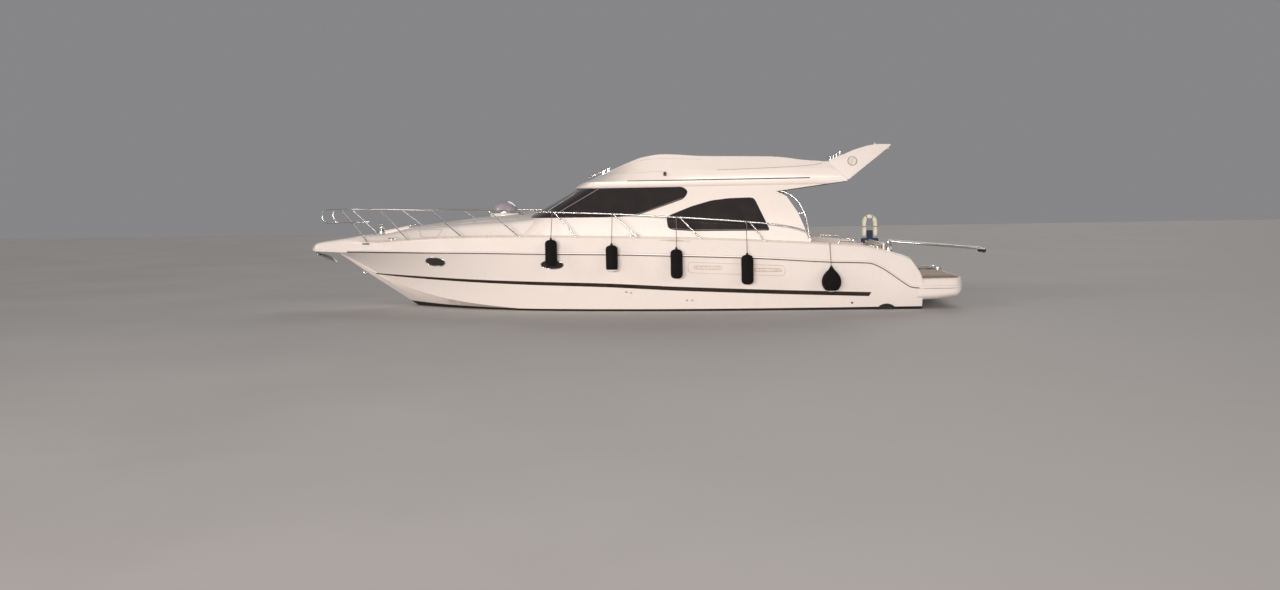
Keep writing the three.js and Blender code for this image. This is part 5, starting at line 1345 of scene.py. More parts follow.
def long_fender(x, top, length, glinting):
    r = FENDER_R
    at = (x, joint_y(x) + STRAKE_PROUD + r + GAP, top - length)
    body = [
        (0, 0.004), (0.018, 0.0), (0.03, 0.004), (r * 0.5, 0.006), (r * 0.82, 0.026), (r * 0.965, 0.056), (r, 0.09),
        (r * 0.985, length * 0.5), (r, length - 0.09), (r * 0.965, length - 0.056), (r * 0.82, length - 0.026),
        (r * 0.5, length - 0.006), (0.03, length - 0.002), (0.024, length + 0.002), (0, length + 0.002),
    ]
    if glinting:
        body = [(r * 0.8, 0.05), (r * 0.86, 0.036), (r * 0.93, 0.04), (r * 0.985, 0.07)] + body[7:]
    collar = [(0.024, -0.004), (0.024, 0.014), (0.019, 0.02), (0.019, 0.034), (0.012, 0.038)]
    neck = Shape().lathe([(radius, length + up) for radius, up in collar], at, sides=24)
    y, eye = at[1], Vector((x, rail_y(x), rail_z(x)))
    knot_y = y - (y - eye.y) * 0.88
    hanging = [(x, y, top + 0.026), (x + 0.001, y - (y - eye.y) * 0.5, (top + eye.z) / 2), (x, knot_y, eye.z - 0.045)]
    hitch = []
    for k in range(19):
        a = 2 * math.pi * k / 9
        hitch.append((x - 0.008 + 0.016 * k / 18, eye.y + 0.0205 * math.cos(a), eye.z + 0.0205 * math.sin(a)))
    turns = ((-0.012, 0.004, 0.03), (0.012, 0.004, 0.036), (0.01, -0.008, 0.044), (-0.012, -0.008, 0.05))
    knot = smooth_path([(x + dx, knot_y + dy, eye.z - dz) for dx, dy, dz in turns], 5)
    line = Shape().tube(smooth_path(hanging), LINE_R, 8).tube(hitch, LINE_R, 8).tube(knot, 0.006, 8)
    return cover(body, 0.02, at, 36), neck, line, white_glint_end(at, r)


def ball_fender():
    x, r, low = BALL_X, BALL_R, BALL_TOP - BALL_LENGTH
    at = (x, topside_y(x, low + 0.18) + r + 0.001, low)
    points = [
        (r * 0.42, 0.032), (r * 0.5, 0.018), (r * 0.66, 0.032), (r * 0.86, 0.078), (r * 0.97, 0.13), (r, 0.18),
        (r * 0.96, 0.24), (r * 0.82, 0.30), (r * 0.58, 0.355), (r * 0.33, 0.40), (0.034, 0.434), (0.026, 0.452),
        (0, 0.452),
    ]
    neck = Shape().lathe(
        [(0.028, 0.44), (0.026, 0.456), (0.019, 0.462), (0.019, BALL_LENGTH - 0.004), (0, BALL_LENGTH)], at, sides=24
    )
    over = ((0.055, -0.12), (0.018, -0.004), (0.004, 0.016), (-0.012, 0.019))
    hanging = [(x, at[1], BALL_TOP - 0.02)] + [(x, edge_y(x) + out, edge_z(x) + up) for out, up in over]
    return cover(points, 0.03, at, 40), neck, Shape().tube(smooth_path(hanging), LINE_R, 8), white_glint_end(at, r * 0.62)


fenders = [long_fender(*row, k in GLINT_ENDED) for k, row in enumerate(FENDERS, 1)] + [ball_fender()]
for k, shapes in enumerate(fenders, 1):
    for name, side in SIDES:
        sock, neck, line, end = (s.on(side) for s in shapes)
        node = f"fender_{name}_{k}"
        piece(f"{node}_cover", sock, SOCK, replaces=node, crisp=60)
        piece(f"{node}_neck", neck, RUBBER, crisp=40)
        # Two fenders get a white end, a painted highlight for the glint at their foot.
        if k in GLINT_ENDED:
            piece(f"{node}_end", end, WHITE, crisp=60)
        piece(f"{node}_line", line, LINE, crisp=60)
print("fenders:", 2 * len(fenders))


# %% [markdown]
# Foredeck gear: domed skylight, anchor locker, windlass with its drum, bow roller and anchor.

# %% Foredeck gear
dome_outer = [
    (0.0, 2.145), (0.04, 2.1435), (0.075, 2.139), (0.11, 2.125), (0.145, 2.107), (0.18, 2.081), (0.21, 2.049),
    (0.233, 2.012), (0.247, 1.975), (0.252, 1.945), (0.254, 1.926),
]
dome_inner = [(r * 0.955, z - 0.012) for r, z in reversed(dome_outer)]
dome = Shape().lathe([*dome_outer, (0.243, 1.922), *dome_inner], (HATCH_X, 0, 0), sides=64)
piece("skylight_dome", dome, DOME, "skylight_hatch", replaces="skylight_hatch", crisp=50)
RIM_ROWS = [
    (0.225, 1.8906), (0.276, 1.8906), (0.28, 1.895), (0.28, 1.915), (0.274, 1.922), (0.258, 1.9245), (0.25, 1.93),
    (0.243, 1.93), (0.24, 1.922), (0.225, 1.918), (0.225, 1.8906),
]
ring = Shape().lathe(RIM_ROWS, (HATCH_X, 0, 0), sides=64)
for a in (2.7, 3.58):
    c, s = math.cos(a), math.sin(a)
    ring.tube([(HATCH_X + 0.272 * c - u * s, 0.272 * s + u * c, 1.925) for u in (0.03, -0.03)], 0.008, 12)
piece("skylight_rim", ring, STEEL, "skylight_hatch", crisp=40)
hinge = Shape().box((HATCH_X - 0.30, -0.035, 1.86), (HATCH_X - 0.287, 0.035, 1.93))
piece("skylight_hinge_block", hinge, DARK, bevelled=0.004)

lid = on_locker(Shape().box((-0.263, -0.278, 0.0006), (0.263, 0.278, 0.024)))
piece("anchor_locker_panel", lid, TREAD, "anchor_locker_lid", bevelled=0.008, replaces="anchor_locker_lid")
latch = Shape().lathe([(0.03, 0.02), (0.03, 0.026), (0.024, 0.029), (0.012, 0.026)], (0.2, 0, 0), sides=28)
for y in (-0.17, 0.17):
    latch.tube([(-0.262, y - 0.035, 0.026), (-0.262, y + 0.035, 0.026)], 0.007, 12)
    latch.box((-0.262, y - 0.03, 0.0235), (-0.2, y + 0.03, 0.0275))
piece("anchor_locker_latch", on_locker(latch), STEEL, "anchor_locker_lid", bevelled=0.001)

WINDLASS_X = 5.08
GEARBOX_ROWS = [
    (0.112, 1.455), (0.112, 1.468), (0.104, 1.476), (0.094, 1.48), (0.095, 1.548), (0.086, 1.562), (0.072, 1.575),
    (0.07, 1.585), (0.062, 1.59),
]
DRUM_ROWS = [
    (0.074, 1.5903), (0.078, 1.594), (0.078, 1.603), (0.07, 1.607), (0.052, 1.618), (0.047, 1.633), (0.047, 1.655),
    (0.053, 1.674), (0.068, 1.687), (0.072, 1.692), (0.071, 1.7), (0.06, 1.706), (0.03, 1.7095), (0.024, 1.712),
]
gearbox = Shape().lathe(GEARBOX_ROWS, (WINDLASS_X, 0, 0), sides=48)
gearbox.tube([(WINDLASS_X - 0.02, 0, 1.515), (WINDLASS_X - 0.13, 0, 1.515)], 0.045, 28)
piece("windlass_gearbox", gearbox, STEEL, bevelled=0.001, replaces="windlass", crisp=40)
drum = Shape().lathe(DRUM_ROWS, (WINDLASS_X, 0, 0), sides=48)
for a in angles(8):
    x, y = WINDLASS_X + 0.049 * math.cos(a), 0.049 * math.sin(a)
    drum.tube([(x, y, 1.615), (x, y, 1.675)], 0.005, 8)
piece("windlass_drum_cast", drum, STEEL, "windlass_drum", replaces="windlass_drum", crisp=40)

CHEEK = [(6.11, 1.232), (6.39, 1.232), (6.40, 1.18), (6.48, 1.18), (6.5, 1.24), (6.48, 1.3), (6.11, 1.352)]
roller = Shape()
for y in (-0.06, 0.052):
    roller.sideways(rounded(CHEEK, 0.02), y, y + 0.008)
roller.box((6.11, -0.06, 1.232), (6.39, 0.06, 1.24)).tube([(6.44, -0.066, 1.212), (6.44, 0.066, 1.212)], 0.009, 16)
piece("bow_roller_cheeks", roller, STEEL, bevelled=0.002, replaces="bow_roller", crisp=40)
sheave = [(0.03, -0.05), (0.03, -0.04), (0.018, -0.012), (0.018, 0.012), (0.03, 0.04), (0.03, 0.05)]
piece("bow_roller_wheel", Shape().lathe(sheave, (6.44, 0, 1.212), (0, 1, 0), 36), RUBBER)

SHANK = [
    (6.44, 1.1), (6.48, 1.075), (6.512, 1.15), (6.5, 1.232), (6.44, 1.272), (6.13, 1.284), (6.13, 1.256),
    (6.42, 1.2401), (6.452, 1.2401), (6.474, 1.224), (6.48, 1.16),
]
PLOUGH_ROWS = [
    (6.49, 0.026, 1.108, 1.092, 1.076), (6.43, 0.095, 1.11, 1.086, 1.052), (6.37, 0.15, 1.106, 1.078, 1.03),
    (6.30, 0.148, 1.086, 1.054, 0.998), (6.22, 0.12, 1.06, 1.02, 0.965), (6.12, 0.065, 0.986, 0.964, 0.93),
    (6.03, 0.008, 0.905, 0.898, 0.888),
]
rings = []
for x, y, top, edge, low in PLOUGH_ROWS:
    half = [(y * 0.5, (low + edge) / 2 - 0.008), (y, edge), (y * 0.9, edge + 0.006), (y * 0.35, top - 0.004)]
    rings.append([(x, v, z) for v, z in [(0, low), *half, (0, top), *((-v, z) for v, z in reversed(half))]])
anchor = raw_object("anchor_forging", Shape().sideways(SHANK, -0.012, 0.012))
settle(bevel(anchor, 0.003), STEEL, crisp=30, replaces="anchor")
piece("anchor_plough", Shape().loft(rings), STEEL, crisp=50)

# %% [markdown]
# Soft furnishings. Seats and backs are crowned cushions: closed forms whose tops bulge, whose sides pull in
# between the corners and whose seams carry piping. They lie on plain bases. Each cover is filled by the
# Cloth simulation: a slightly smaller pad of even cells swells under pressure while its underside stays put,
# and no point may move further than a foam cushion gives. The sewn channels are pressed in afterwards.

# %% Cushions
CHANNEL, SWELL_LIMIT, SWELL_FRAMES = 0.014, 0.010, 20
SIDE_ALLOWANCE, TOP_ALLOWANCE = 0.007, 0.004


def channel_depth(x, y, seams_x, seams_y):
    away = [a - at for a, seams in ((x, seams_x), (y, seams_y)) for at in seams]
    return sum(CHANNEL * math.exp(-((distance / CHANNEL) ** 2)) for distance in away)


def swell(shape, middle, half, seams_x, seams_y):
    """Fills a pad with the Cloth simulation and gives its new mesh back in `shape`."""
    under = middle.z - half.z
    for v in shape.verts:
        v.x = middle.x + (v.x - middle.x) * (1 - SIDE_ALLOWANCE / half.x)
        v.y = middle.y + (v.y - middle.y) * (1 - SIDE_ALLOWANCE / half.y)
        v.z = under + (v.z - under) * (1 - TOP_ALLOWANCE / half.z)
    pad = raw_object("pad", shape)
    even = pad.modifiers.new("even", "REMESH")
    even.mode, even.voxel_size = "VOXEL", 0.0145
    apply_modifiers(pad)
    rest = [v.co.copy() for v in pad.data.vertices]
    resting = pad.vertex_groups.new(name="underside")
    resting.add([i for i, v in enumerate(rest) if v.z < under + 0.012], 1.0, "REPLACE")
    cloth = pad.modifiers.new("cloth", "CLOTH").settings
    cloth.quality, cloth.mass = 5, 0.3
    cloth.use_pressure, cloth.uniform_pressure_force = True, 4.0
    cloth.effector_weights.gravity = 0
    cloth.vertex_group_mass = "underside"
    for moment in range(SWELL_FRAMES):
        bpy.context.scene.frame_set(moment + 1)
    apply_modifiers(pad)
    bpy.context.scene.frame_set(1)
    moves = [v.co - at for v, at in zip(pad.data.vertices, rest)]
    share = min(1.0, SWELL_LIMIT / sorted(m.length for m in moves)[int(0.95 * len(moves))])
    shape.verts = []
    for at, move in zip(rest, moves):
        move = move * share
        v = at + move * min(1.0, 1.2 * SWELL_LIMIT / max(move.length, 1e-9))
        if v.z > middle.z + 0.2 * half.z:
            v.z -= channel_depth(v.x - middle.x, v.y - middle.y, seams_x, seams_y)
        shape.verts.append(v)
    shape.faces = [tuple(p.vertices) for p in pad.data.polygons]
    bpy.data.objects.remove(pad)


def cushion(low, high, crown=0.03, corner=0.045, pull=0.012, cells=26, seams_x=(), seams_y=()):
    """A crowned pad between two corners. The seams press channels across its top."""
    low, high = Vector(low), Vector(high)
    middle, half = (low + high) / 2, (high - low) / 2
    shape = Shape()

    def point(u, v, upper):
        x, y = half.x * u, half.y * v
        x *= 1 - pull / half.x * (1 - v * v) * u * u
        y *= 1 - pull / half.y * (1 - u * u) * v * v
        far = max(abs(u), abs(v))
        edge = min(1.0, (1 - far) * min(half.x, half.y) / corner)
        dome = math.sqrt(max(0.0, 1 - (1 - edge) ** 2))
        rise = (1 - u**4) * (1 - v**4)
        thick = half.z * (0.42 + 0.58 * dome)
        if upper:
            top = thick - crown * (1 - rise) * 0.9
            return middle + Vector((x, y, top))
        return middle + Vector((x, y, -thick + 0.004 * (1 - dome)))

    def grade(k):
        t = 2 * k / cells - 1
        return math.copysign(1 - (1 - abs(t)) ** 1.6, t)

    index = {}
    for upper in (True, False):
        for i in range(cells + 1):
            for j in range(cells + 1):
                shape.verts.append(point(grade(i), grade(j), upper))
                index[upper, i, j] = len(shape.verts) - 1
    for i in range(cells):
        for j in range(cells):
            a, b, c, d = ((i, j), (i + 1, j), (i + 1, j + 1), (i, j + 1))
            shape.faces.append(tuple(index[(True, *k)] for k in (a, b, c, d)))
            shape.faces.append(tuple(index[(False, *k)] for k in (d, c, b, a)))
    rim = [(i, 0) for i in range(cells)] + [(cells, j) for j in range(cells)]
    rim += [(i, cells) for i in range(cells, 0, -1)] + [(0, j) for j in range(cells, 0, -1)]
    for a, b in zip(rim, rim[1:] + rim[:1]):
        shape.faces.append((index[(False, *a)], index[(False, *b)], index[(True, *b)], index[(True, *a)]))
    loop = [shape.verts[index[(True, *k)]].copy() for k in rim]
    swell(shape, middle, half, seams_x, seams_y)
    cover = BVHTree.FromPolygons(shape.verts, shape.faces)
    loop = [cover.find_nearest(p)[0] for p in loop]
    for _ in range(2):
        loop = [(loop[k - 1] + p * 2 + loop[(k + 1) % len(loop)]) / 4 for k, p in enumerate(loop)]
    return shape, Shape().tube(loop, 0.0065, 8, closed=True)


def tilted(shape, about, angle, axis="Y"):
    return shape.moved(Matrix.Translation(about) @ Matrix.Rotation(angle, 4, axis) @ Matrix.Translation(-Vector(about)))


def upholster(name, pads, base, base_finish=GEL):
    """Piped pads on a base. Each pad has a low and a high corner, options, and a point and angle of its tilt."""
    covers, seams = Shape(), Shape()
    for low, high, options, *turn in pads:
        cover, piping = cushion(low, high, **options)
        if turn:
            cover, piping = tilted(cover, *turn), tilted(piping, *turn)
        covers.join(cover)
        seams.join(piping)
    made = piece(f"{name}_cushions", covers, CUSHION, crisp=70, replaces=name)
    piece(f"{name}_piping", seams, PIPING, crisp=70)
    piece(f"{name}_base", base, base_finish, bevelled=0.012)


ACROSS, LENGTHWISE = {"seams_x": (0.0,)}, {"seams_y": (0.0,)}
QUILTED, BACKREST = {"seams_x": (0.0,), "seams_y": (-0.16, 0.16)}, {"crown": 0.025, "corner": 0.03, "cells": 20}
SOFA_SEAT = {"crown": 0.035, "seams_x": (0.0,)}
BENCH_TILT = ((-5.0, 0.0, 1.05), math.radians(-84))

base = Shape().box((-2.53, -1.13, FLY_FLOOR + GAP), (-2.14, -0.32, 2.655))
base.sideways([(-2.545, 2.6), (-2.50, 2.6), (-2.555, 2.92), (-2.59, 2.93)], -1.13, -0.32)
upholster("fly_helm_seat", [
    ((-2.55, -1.145, 2.65), (-2.12, -0.73, 2.77), ACROSS),
    ((-2.55, -0.72, 2.65), (-2.12, -0.305, 2.77), ACROSS),
    ((-2.60, -1.145, 2.68), (-2.34, -0.305, 2.775), {}, (-2.52, -0.725, 2.75), math.radians(-80)),
], base)

base = Shape().box((-3.58, 0.66, FLY_FLOOR + GAP), (-1.55, 1.18, 2.64))
base.box((-3.58, 0.05, FLY_FLOOR + GAP), (-3.08, 0.70, 2.64))
upholster("fly_settee", [
    ((-3.04, 0.625, 2.635), (-2.29, 1.195, 2.745), LENGTHWISE),
    ((-2.285, 0.625, 2.635), (-1.53, 1.195, 2.745), LENGTHWISE),
    ((-3.60, 0.02, 2.635), (-3.045, 0.615, 2.745), ACROSS),
    ((-3.60, 0.62, 2.635), (-3.045, 1.195, 2.745), {}),
], base)

base = Shape().box((-5.06, -0.42, SOLE_Z + GAP), (-4.54, 1.47, 0.93)).box((-5.07, -0.43, 0.92), (-5.03, 1.48, 1.22))
upholster("cockpit_bench", [
    ((-4.96, -0.43, 0.925), (-4.52, 0.52, 1.03), QUILTED),
    ((-4.96, 0.53, 0.925), (-4.52, 1.48, 1.03), QUILTED),
    ((-5.06, -0.43, 1.0), (-4.83, 0.52, 1.09), {}, *BENCH_TILT),
    ((-5.06, 0.53, 1.0), (-4.83, 1.48, 1.09), {}, *BENCH_TILT),
], base)

upholster("saloon_sofa", [
    ((-2.62, 0.78, 0.90), (-1.50, 1.36, 1.02), SOFA_SEAT),
    ((-1.49, 0.78, 0.90), (-0.35, 1.36, 1.02), SOFA_SEAT),
    ((-2.62, 1.34, 1.00), (-1.50, 1.48, 1.41), BACKREST),
    ((-1.49, 1.34, 1.00), (-0.35, 1.48, 1.41), BACKREST),
], Shape().box((-2.60, 0.82, SOLE_Z + GAP), (-0.37, 1.46, 0.90)), TEAK_LENGTHWAYS)


# %% [markdown]
# Helm stations. Each has a console with a dark panel and round gauges, and a wheel that turns with its
# own body. The wheel has a padded rim and three steel spokes.

# %% Helm stations and galley
WHEEL_TILT = math.radians(30)
WHEEL_AXIS = Vector((-math.cos(WHEEL_TILT), 0, math.sin(WHEEL_TILT)))
UP_FACE = Vector((WHEEL_AXIS.z, 0, -WHEEL_AXIS.x))
HUB_BACK, PANEL_LOW = 0.045, -0.14
LOWER_WHEEL, UPPER_WHEEL = Vector((0.69, -0.9, 1.6)), Vector((-1.7, -0.65, 2.795))


def console(centre, below, above, back, top, floor, y0, y1):
    face = centre - WHEEL_AXIS * (HUB_BACK + GAP)
    knee, brow = face - UP_FACE * below, face + UP_FACE * above
    outline = [(knee.x, floor), (back, floor), (back, top), (brow.x, brow.z), (knee.x, knee.z)]
    return Shape().sideways(outline, y0, y1)


def helm_panel(centre, half, high, gauges):
    """Dark plate on the console's face, with bezelled gauges."""
    face = centre - WHEEL_AXIS * HUB_BACK
    turn = Matrix((UP_FACE, (0, 1, 0), WHEEL_AXIS)).transposed().to_4x4()
    outline = rounded([(PANEL_LOW, -half), (high, -half), (high, half), (PANEL_LOW, half)], 0.03)
    plate = Shape().upwards(outline, -0.001, 0.008).moved(Matrix.Translation(face) @ turn)
    bezels, dials = Shape(), Shape()
    for u, v, r in gauges:
        spot = face + UP_FACE * u + Vector((0, v, 0))
        bezel = [(r, 0), (r, 0.012), (r * 0.9, 0.015), (r * 0.82, 0.012), (r * 0.82, 0.009)]
        bezels.lathe(bezel, spot, WHEEL_AXIS, 28)
        dials.lathe([(r * 0.8, 0.0085), (r * 0.8, 0.0105), (0, 0.0115)], spot, WHEEL_AXIS, 28)
    return (plate, DARK, 0.003), (bezels, STEEL, 0), (dials, WHITE, 0)


CONSOLES = {
    "fly_console": (
        UPPER_WHEEL, GEL, (0.175, 0.09, -1.21, 2.86, FLY_FLOOR + GAP, -1.0, -0.3), (0.31, 0.085),
        [(0.05, v, 0.035) for v in (-0.26, 0.26, -0.17, 0.17)],
    ),
    "lower_helm": (
        LOWER_WHEEL, GREY, (0.215, 0.13, 1.14, 1.69, SOLE_Z + GAP, -1.3, -0.5), (0.36, 0.125),
        [(0.09, v, 0.042) for v in (-0.30, -0.20, 0.20, 0.30)] + [(-0.02, 0.28, 0.03)],
    ),
}
for name, (centre, finish, form, plate_size, gauges) in CONSOLES.items():
    piece(f"{name}_moulding", console(centre, *form), finish, bevelled=0.025, replaces=name)
    for part, row in zip(("panel", "bezels", "dials"), helm_panel(centre, *plate_size, gauges)):
        piece(f"{name}_{part}", *row[:2], bevelled=row[2])

for name, centre, radius in (("lower_wheel", LOWER_WHEEL, 0.185), ("fly_wheel", UPPER_WHEEL, 0.16)):
    turn = Matrix.Translation(centre) @ Vector((0, 0, 1)).rotation_difference(WHEEL_AXIS).to_matrix().to_4x4()
    rim = Shape().tube([(radius * math.cos(a), radius * math.sin(a), 0) for a in angles(48)], 0.014, 12, closed=True)
    metal = Shape()
    for a in angles(3):
        c, s = math.cos(a + math.pi / 2), math.sin(a + math.pi / 2)
        spoke = [(r * c, r * s, z) for r, z in ((0.02, -0.004), (radius * 0.5, -0.006), (radius, 0))]
        metal.tube(spoke, [0.011, 0.008, 0.007], 10)
    metal.lathe([(0.028, -HUB_BACK), (0.034, -0.038), (0.034, 0.008), (0.026, 0.018), (0, 0.02)], (0, 0, 0), sides=28)
    piece(f"{name}_rim", rim.moved(turn), DARK, name, replaces=name)
    piece(f"{name}_spokes", metal.moved(turn), STEEL, name, crisp=40)

cupboard = Shape().box((-2.6, -1.48, SOLE_Z + GAP), (-0.9, -0.885, 1.415))
piece("galley_cupboards", cupboard, TEAK_LENGTHWAYS, bevelled=0.006, replaces="galley")
piece("galley_worktop", Shape().box((-2.6, -1.48, 1.412), (-0.9, -0.88, 1.45)), GREY, bevelled=0.008)
doors, knobs = Shape(), Shape()
KNOB = [(0.009, 0), (0.007, 0.012), (0.014, 0.018), (0.012, 0.026), (0, 0.028)]
for k in range(3):
    x = -2.57 + k * 0.56
    doors.box((x, -0.888, 0.72), (x + 0.53, -0.876, 1.38))
    knobs.lathe(KNOB, (x + 0.47, -0.876, 1.3), (0, 1, 0), 18)
piece("galley_doors", doors, TEAK_ACROSS, bevelled=0.004)
piece("galley_knobs", knobs, STEEL)


# %% [markdown]
# Cockpit and stern: teak soles, bulkhead with its sliding glass door, engine hatch, gate, ladders, rail,
# passerelle and lifebuoy.

# %% Sole, bulkhead, hatch and engines
sole = raw_object("teak_sole", Shape().box((-5.079, -1.489, 0.5503), (1.149, 1.489, SOLE_Z)))
cut(sole, room(-4.3, -3.35, -0.43, 0.43, 0.57, 0.61), room(-4.275, -3.375, -0.405, 0.405, 0.4, 0.61))
settle(sole, TEAK_LENGTHWAYS, crisp=20, replaces="sole")
hatch = Shape().box((-4.295, -0.425, 0.5703), (-3.355, 0.425, SOLE_Z))
piece("engine_hatch_panel", hatch, TEAK_LENGTHWAYS, "engine_hatch", bevelled=0.004, replaces="engine_hatch")
lifts = Shape()
for x in (-3.45, -4.2):
    lifts.lathe([(0.03, 0.594), (0.03, 0.6012), (0.026, 0.6022), (0.018, 0.6005)], (x, 0, 0), sides=28)
piece("engine_hatch_lifts", lifts, STEEL, "engine_hatch")

for name, side in SIDES:
    y = side * SHAFT_Y
    engine = Shape().box((-3.9, y - 0.30, -0.12), (-2.72, y + 0.30, 0.30))
    for foot in (y - 0.37, y + 0.30):
        engine.box((-3.82, foot, -0.1897), (-2.80, foot + 0.07, -0.10))
    engine.box((-3.72, y - 0.20, 0.29), (-2.86, y + 0.20, 0.48))
    for k in range(6):
        engine.lathe([(0.05, 0), (0.05, 0.06), (0.035, 0.075)], (-3.62 + k * 0.15, y - 0.25, 0.295), sides=20)
    engine.tube([(-2.72, y, 0.05), (-2.7, y, 0.05)], 0.16, 32)
    engine.tube([(-3.78, y + 0.3, 0.16), (-2.84, y + 0.3, 0.16)], 0.045, 20)
    piece(f"engine_{name}_block", engine, ENGINE, bevelled=0.012, replaces=f"engine_{name}")

BULKHEAD = [(-1.486, 0.6003), (1.486, 0.6003), (1.486, 1.35), (1.4, 2.3697), (-1.4, 2.3697), (-1.486, 1.35)]
FIXED_PANE = rounded([(0.56, 1.05), (1.29, 1.05), (1.29, 2.15), (0.56, 2.15)], 0.05)
bulkhead = raw_object("aft_bulkhead_panel", Shape().lengthways(BULKHEAD, -2.775, -2.725))
cut(bulkhead, room(-2.8, -2.7, -0.29, 0.47, 0.65, 2.18), Shape().lengthways(FIXED_PANE, -2.8, -2.7))
settle(bevel(bulkhead, 0.004, angle=40), GEL, crisp=30, replaces="aft_bulkhead")
tracks = Shape().box((-2.82, -0.34, 0.6003), (-2.77, 1.33, 0.6247)).box((-2.82, -0.34, 2.2053), (-2.77, 1.33, 2.231))
piece("door_tracks", tracks, ALLOY, bevelled=0.002)
piece("bulkhead_pane", Shape().box((-2.755, 0.55, 1.04), (-2.745, 1.30, 2.16)), GLASS, bevelled=0.002)
DOOR_BARS = [
    (-0.33, -0.27, 0.625, 2.205), (0.45, 0.51, 0.625, 2.205), (-0.30, 0.48, 0.625, 0.70), (-0.30, 0.48, 2.135, 2.205),
]
door = Shape()
for bar in DOOR_BARS:
    door.join(room(-2.812, -2.784, *bar))
piece("saloon_door_frame", door, ALLOY, "saloon_door", bevelled=0.003, replaces="saloon_door")
piece("saloon_door_pane", room(-2.801, -2.795, -0.28, 0.46, 0.69, 2.145), GLASS, "saloon_door", bevelled=0.001)
grip = [(x, -0.295, z) for x, z in ((-2.812, 1.28), (-2.84, 1.29), (-2.842, 1.38), (-2.84, 1.47), (-2.812, 1.48))]
piece("saloon_door_handle", Shape().tube(smooth_path(grip, 5), 0.008, 12), STEEL, "saloon_door")

gate = Shape().box((GATE_X - 0.015, -1.128, 0.62), (GATE_X + 0.015, -0.526, 1.0))
gate.lathe(rod(0.015, 0.62, 1.0), (GATE_X, -1.128, 0), sides=24)
piece("transom_gate_panel", gate, GEL, "transom_gate", bevelled=0.008, replaces="transom_gate")
catch = Shape().lathe([(0.016, 0), (0.016, 0.006), (0.008, 0.009)], (GATE_X + 0.014, -0.56, 0.93), (1, 0, 0), 20)
piece("transom_gate_catch", catch, STEEL, "transom_gate")

PLANKING = [(-6.425, -1.45), (-6.38, -1.56), (-5.735, -1.6), (-5.735, 1.6), (-6.38, 1.56), (-6.425, 1.45)]
planks = Shape().upwards(rounded(PLANKING, 0.06), PLATFORM_Z + GAP, PLATFORM_Z + 0.012)
piece("platform_planking", planks, TEAK_ACROSS, bevelled=0.003, replaces="platform_teak")


# %% Ladders, rails, passerelle and lifebuoy
LADDER_FOOT, LADDER_HEAD, LADDER_Y, LADDER_TREADS = (-3.56, 0.602), (-3.13, 3.0), (-1.12, -0.68), 7


def on_ladder(t):
    return [low + (high - low) * t for low, high in zip(LADDER_FOOT, LADDER_HEAD)]


ladder, treads = Shape(), Shape()
for y in LADDER_Y:
    ladder.tube([(x, y, z) for x, z in (on_ladder(k / 6) for k in range(7))], 0.017, 16)
    ladder.lathe([(0.042, 0), (0.042, 0.005), (0.03, 0.012)], (on_ladder(0.002)[0], y, 0.6006), sides=28)
for k in range(LADDER_TREADS):
    x, z = on_ladder((k + 1) / (LADDER_TREADS + 2))
    ladder.box((x - 0.06, LADDER_Y[0] + 0.01, z - 0.015), (x + 0.04, LADDER_Y[1] - 0.01, z + 0.006))
    treads.box((x - 0.056, LADDER_Y[0] + 0.03, z + 0.004), (x + 0.036, LADDER_Y[1] - 0.03, z + 0.015))
piece("fly_ladder_frame", ladder, STEEL, bevelled=0.0015, replaces="fly_ladder", crisp=40)
piece("fly_ladder_treads", treads, TEAK_LENGTHWAYS, bevelled=0.002)

AFT_RAIL_X, AFT_RAIL_LOW, AFT_RAIL_MIDDLE = -4.29, 2.5103, 2.74
HALF_HOOP = [(1.19, AFT_RAIL_LOW), (1.19, 2.88), (1.16, 2.94), (1.10, 2.96)]
hoop = HALF_HOOP + [(0, 2.96)] + [(-y, z) for y, z in reversed(HALF_HOOP)]
aft = Shape().tube(smooth_path([(AFT_RAIL_X, y, z) for y, z in hoop]), 0.016, 14)
for y in (-0.6, 0.0, 0.6):
    aft.tube([(AFT_RAIL_X, y, z) for z in (AFT_RAIL_LOW, AFT_RAIL_MIDDLE, 2.955)], 0.014, 12)
aft.tube([(AFT_RAIL_X, y, AFT_RAIL_MIDDLE) for y in (-1.19, 0, 1.19)], 0.012, 12)
for y in (-1.19, -0.6, 0.0, 0.6, 1.19):
    aft.lathe([(0.038, 0), (0.038, 0.004), (0.026, 0.011)], (AFT_RAIL_X, y, AFT_RAIL_LOW + GAP), sides=24)
piece("fly_aft_rail_tubes", aft, STEEL, replaces="fly_aft_rail", crisp=40)

SWIM_X, SWIM_Z, SWIM_Y, SWIM_LENGTH = -6.515, 0.6, (-1.05, -0.65), 0.69
swim, grips = Shape(), Shape()
for y in SWIM_Y:
    swim.tube([(SWIM_X + along, y, SWIM_Z) for along in (0, 0.3, SWIM_LENGTH)], 0.014, 14)
    swim.lathe(rod(0.016, 0, 0.0354), (SWIM_X, y - 0.0177, SWIM_Z), (0, 1, 0), 24)
for t in (0.3, 0.62, 0.95):
    x = SWIM_X + SWIM_LENGTH * t
    swim.loft([[(x + 0.028 * math.cos(a), y, SWIM_Z + 0.01 * math.sin(a)) for a in angles(16)] for y in SWIM_Y])
    grips.box((x - 0.022, -1.02, SWIM_Z + 0.006), (x + 0.022, -0.68, SWIM_Z + 0.0115))
piece("swim_ladder_tubes", swim, STEEL, "swim_ladder", replaces="swim_ladder", crisp=40)
piece("swim_ladder_treads", grips, RUBBER, "swim_ladder", bevelled=0.002)

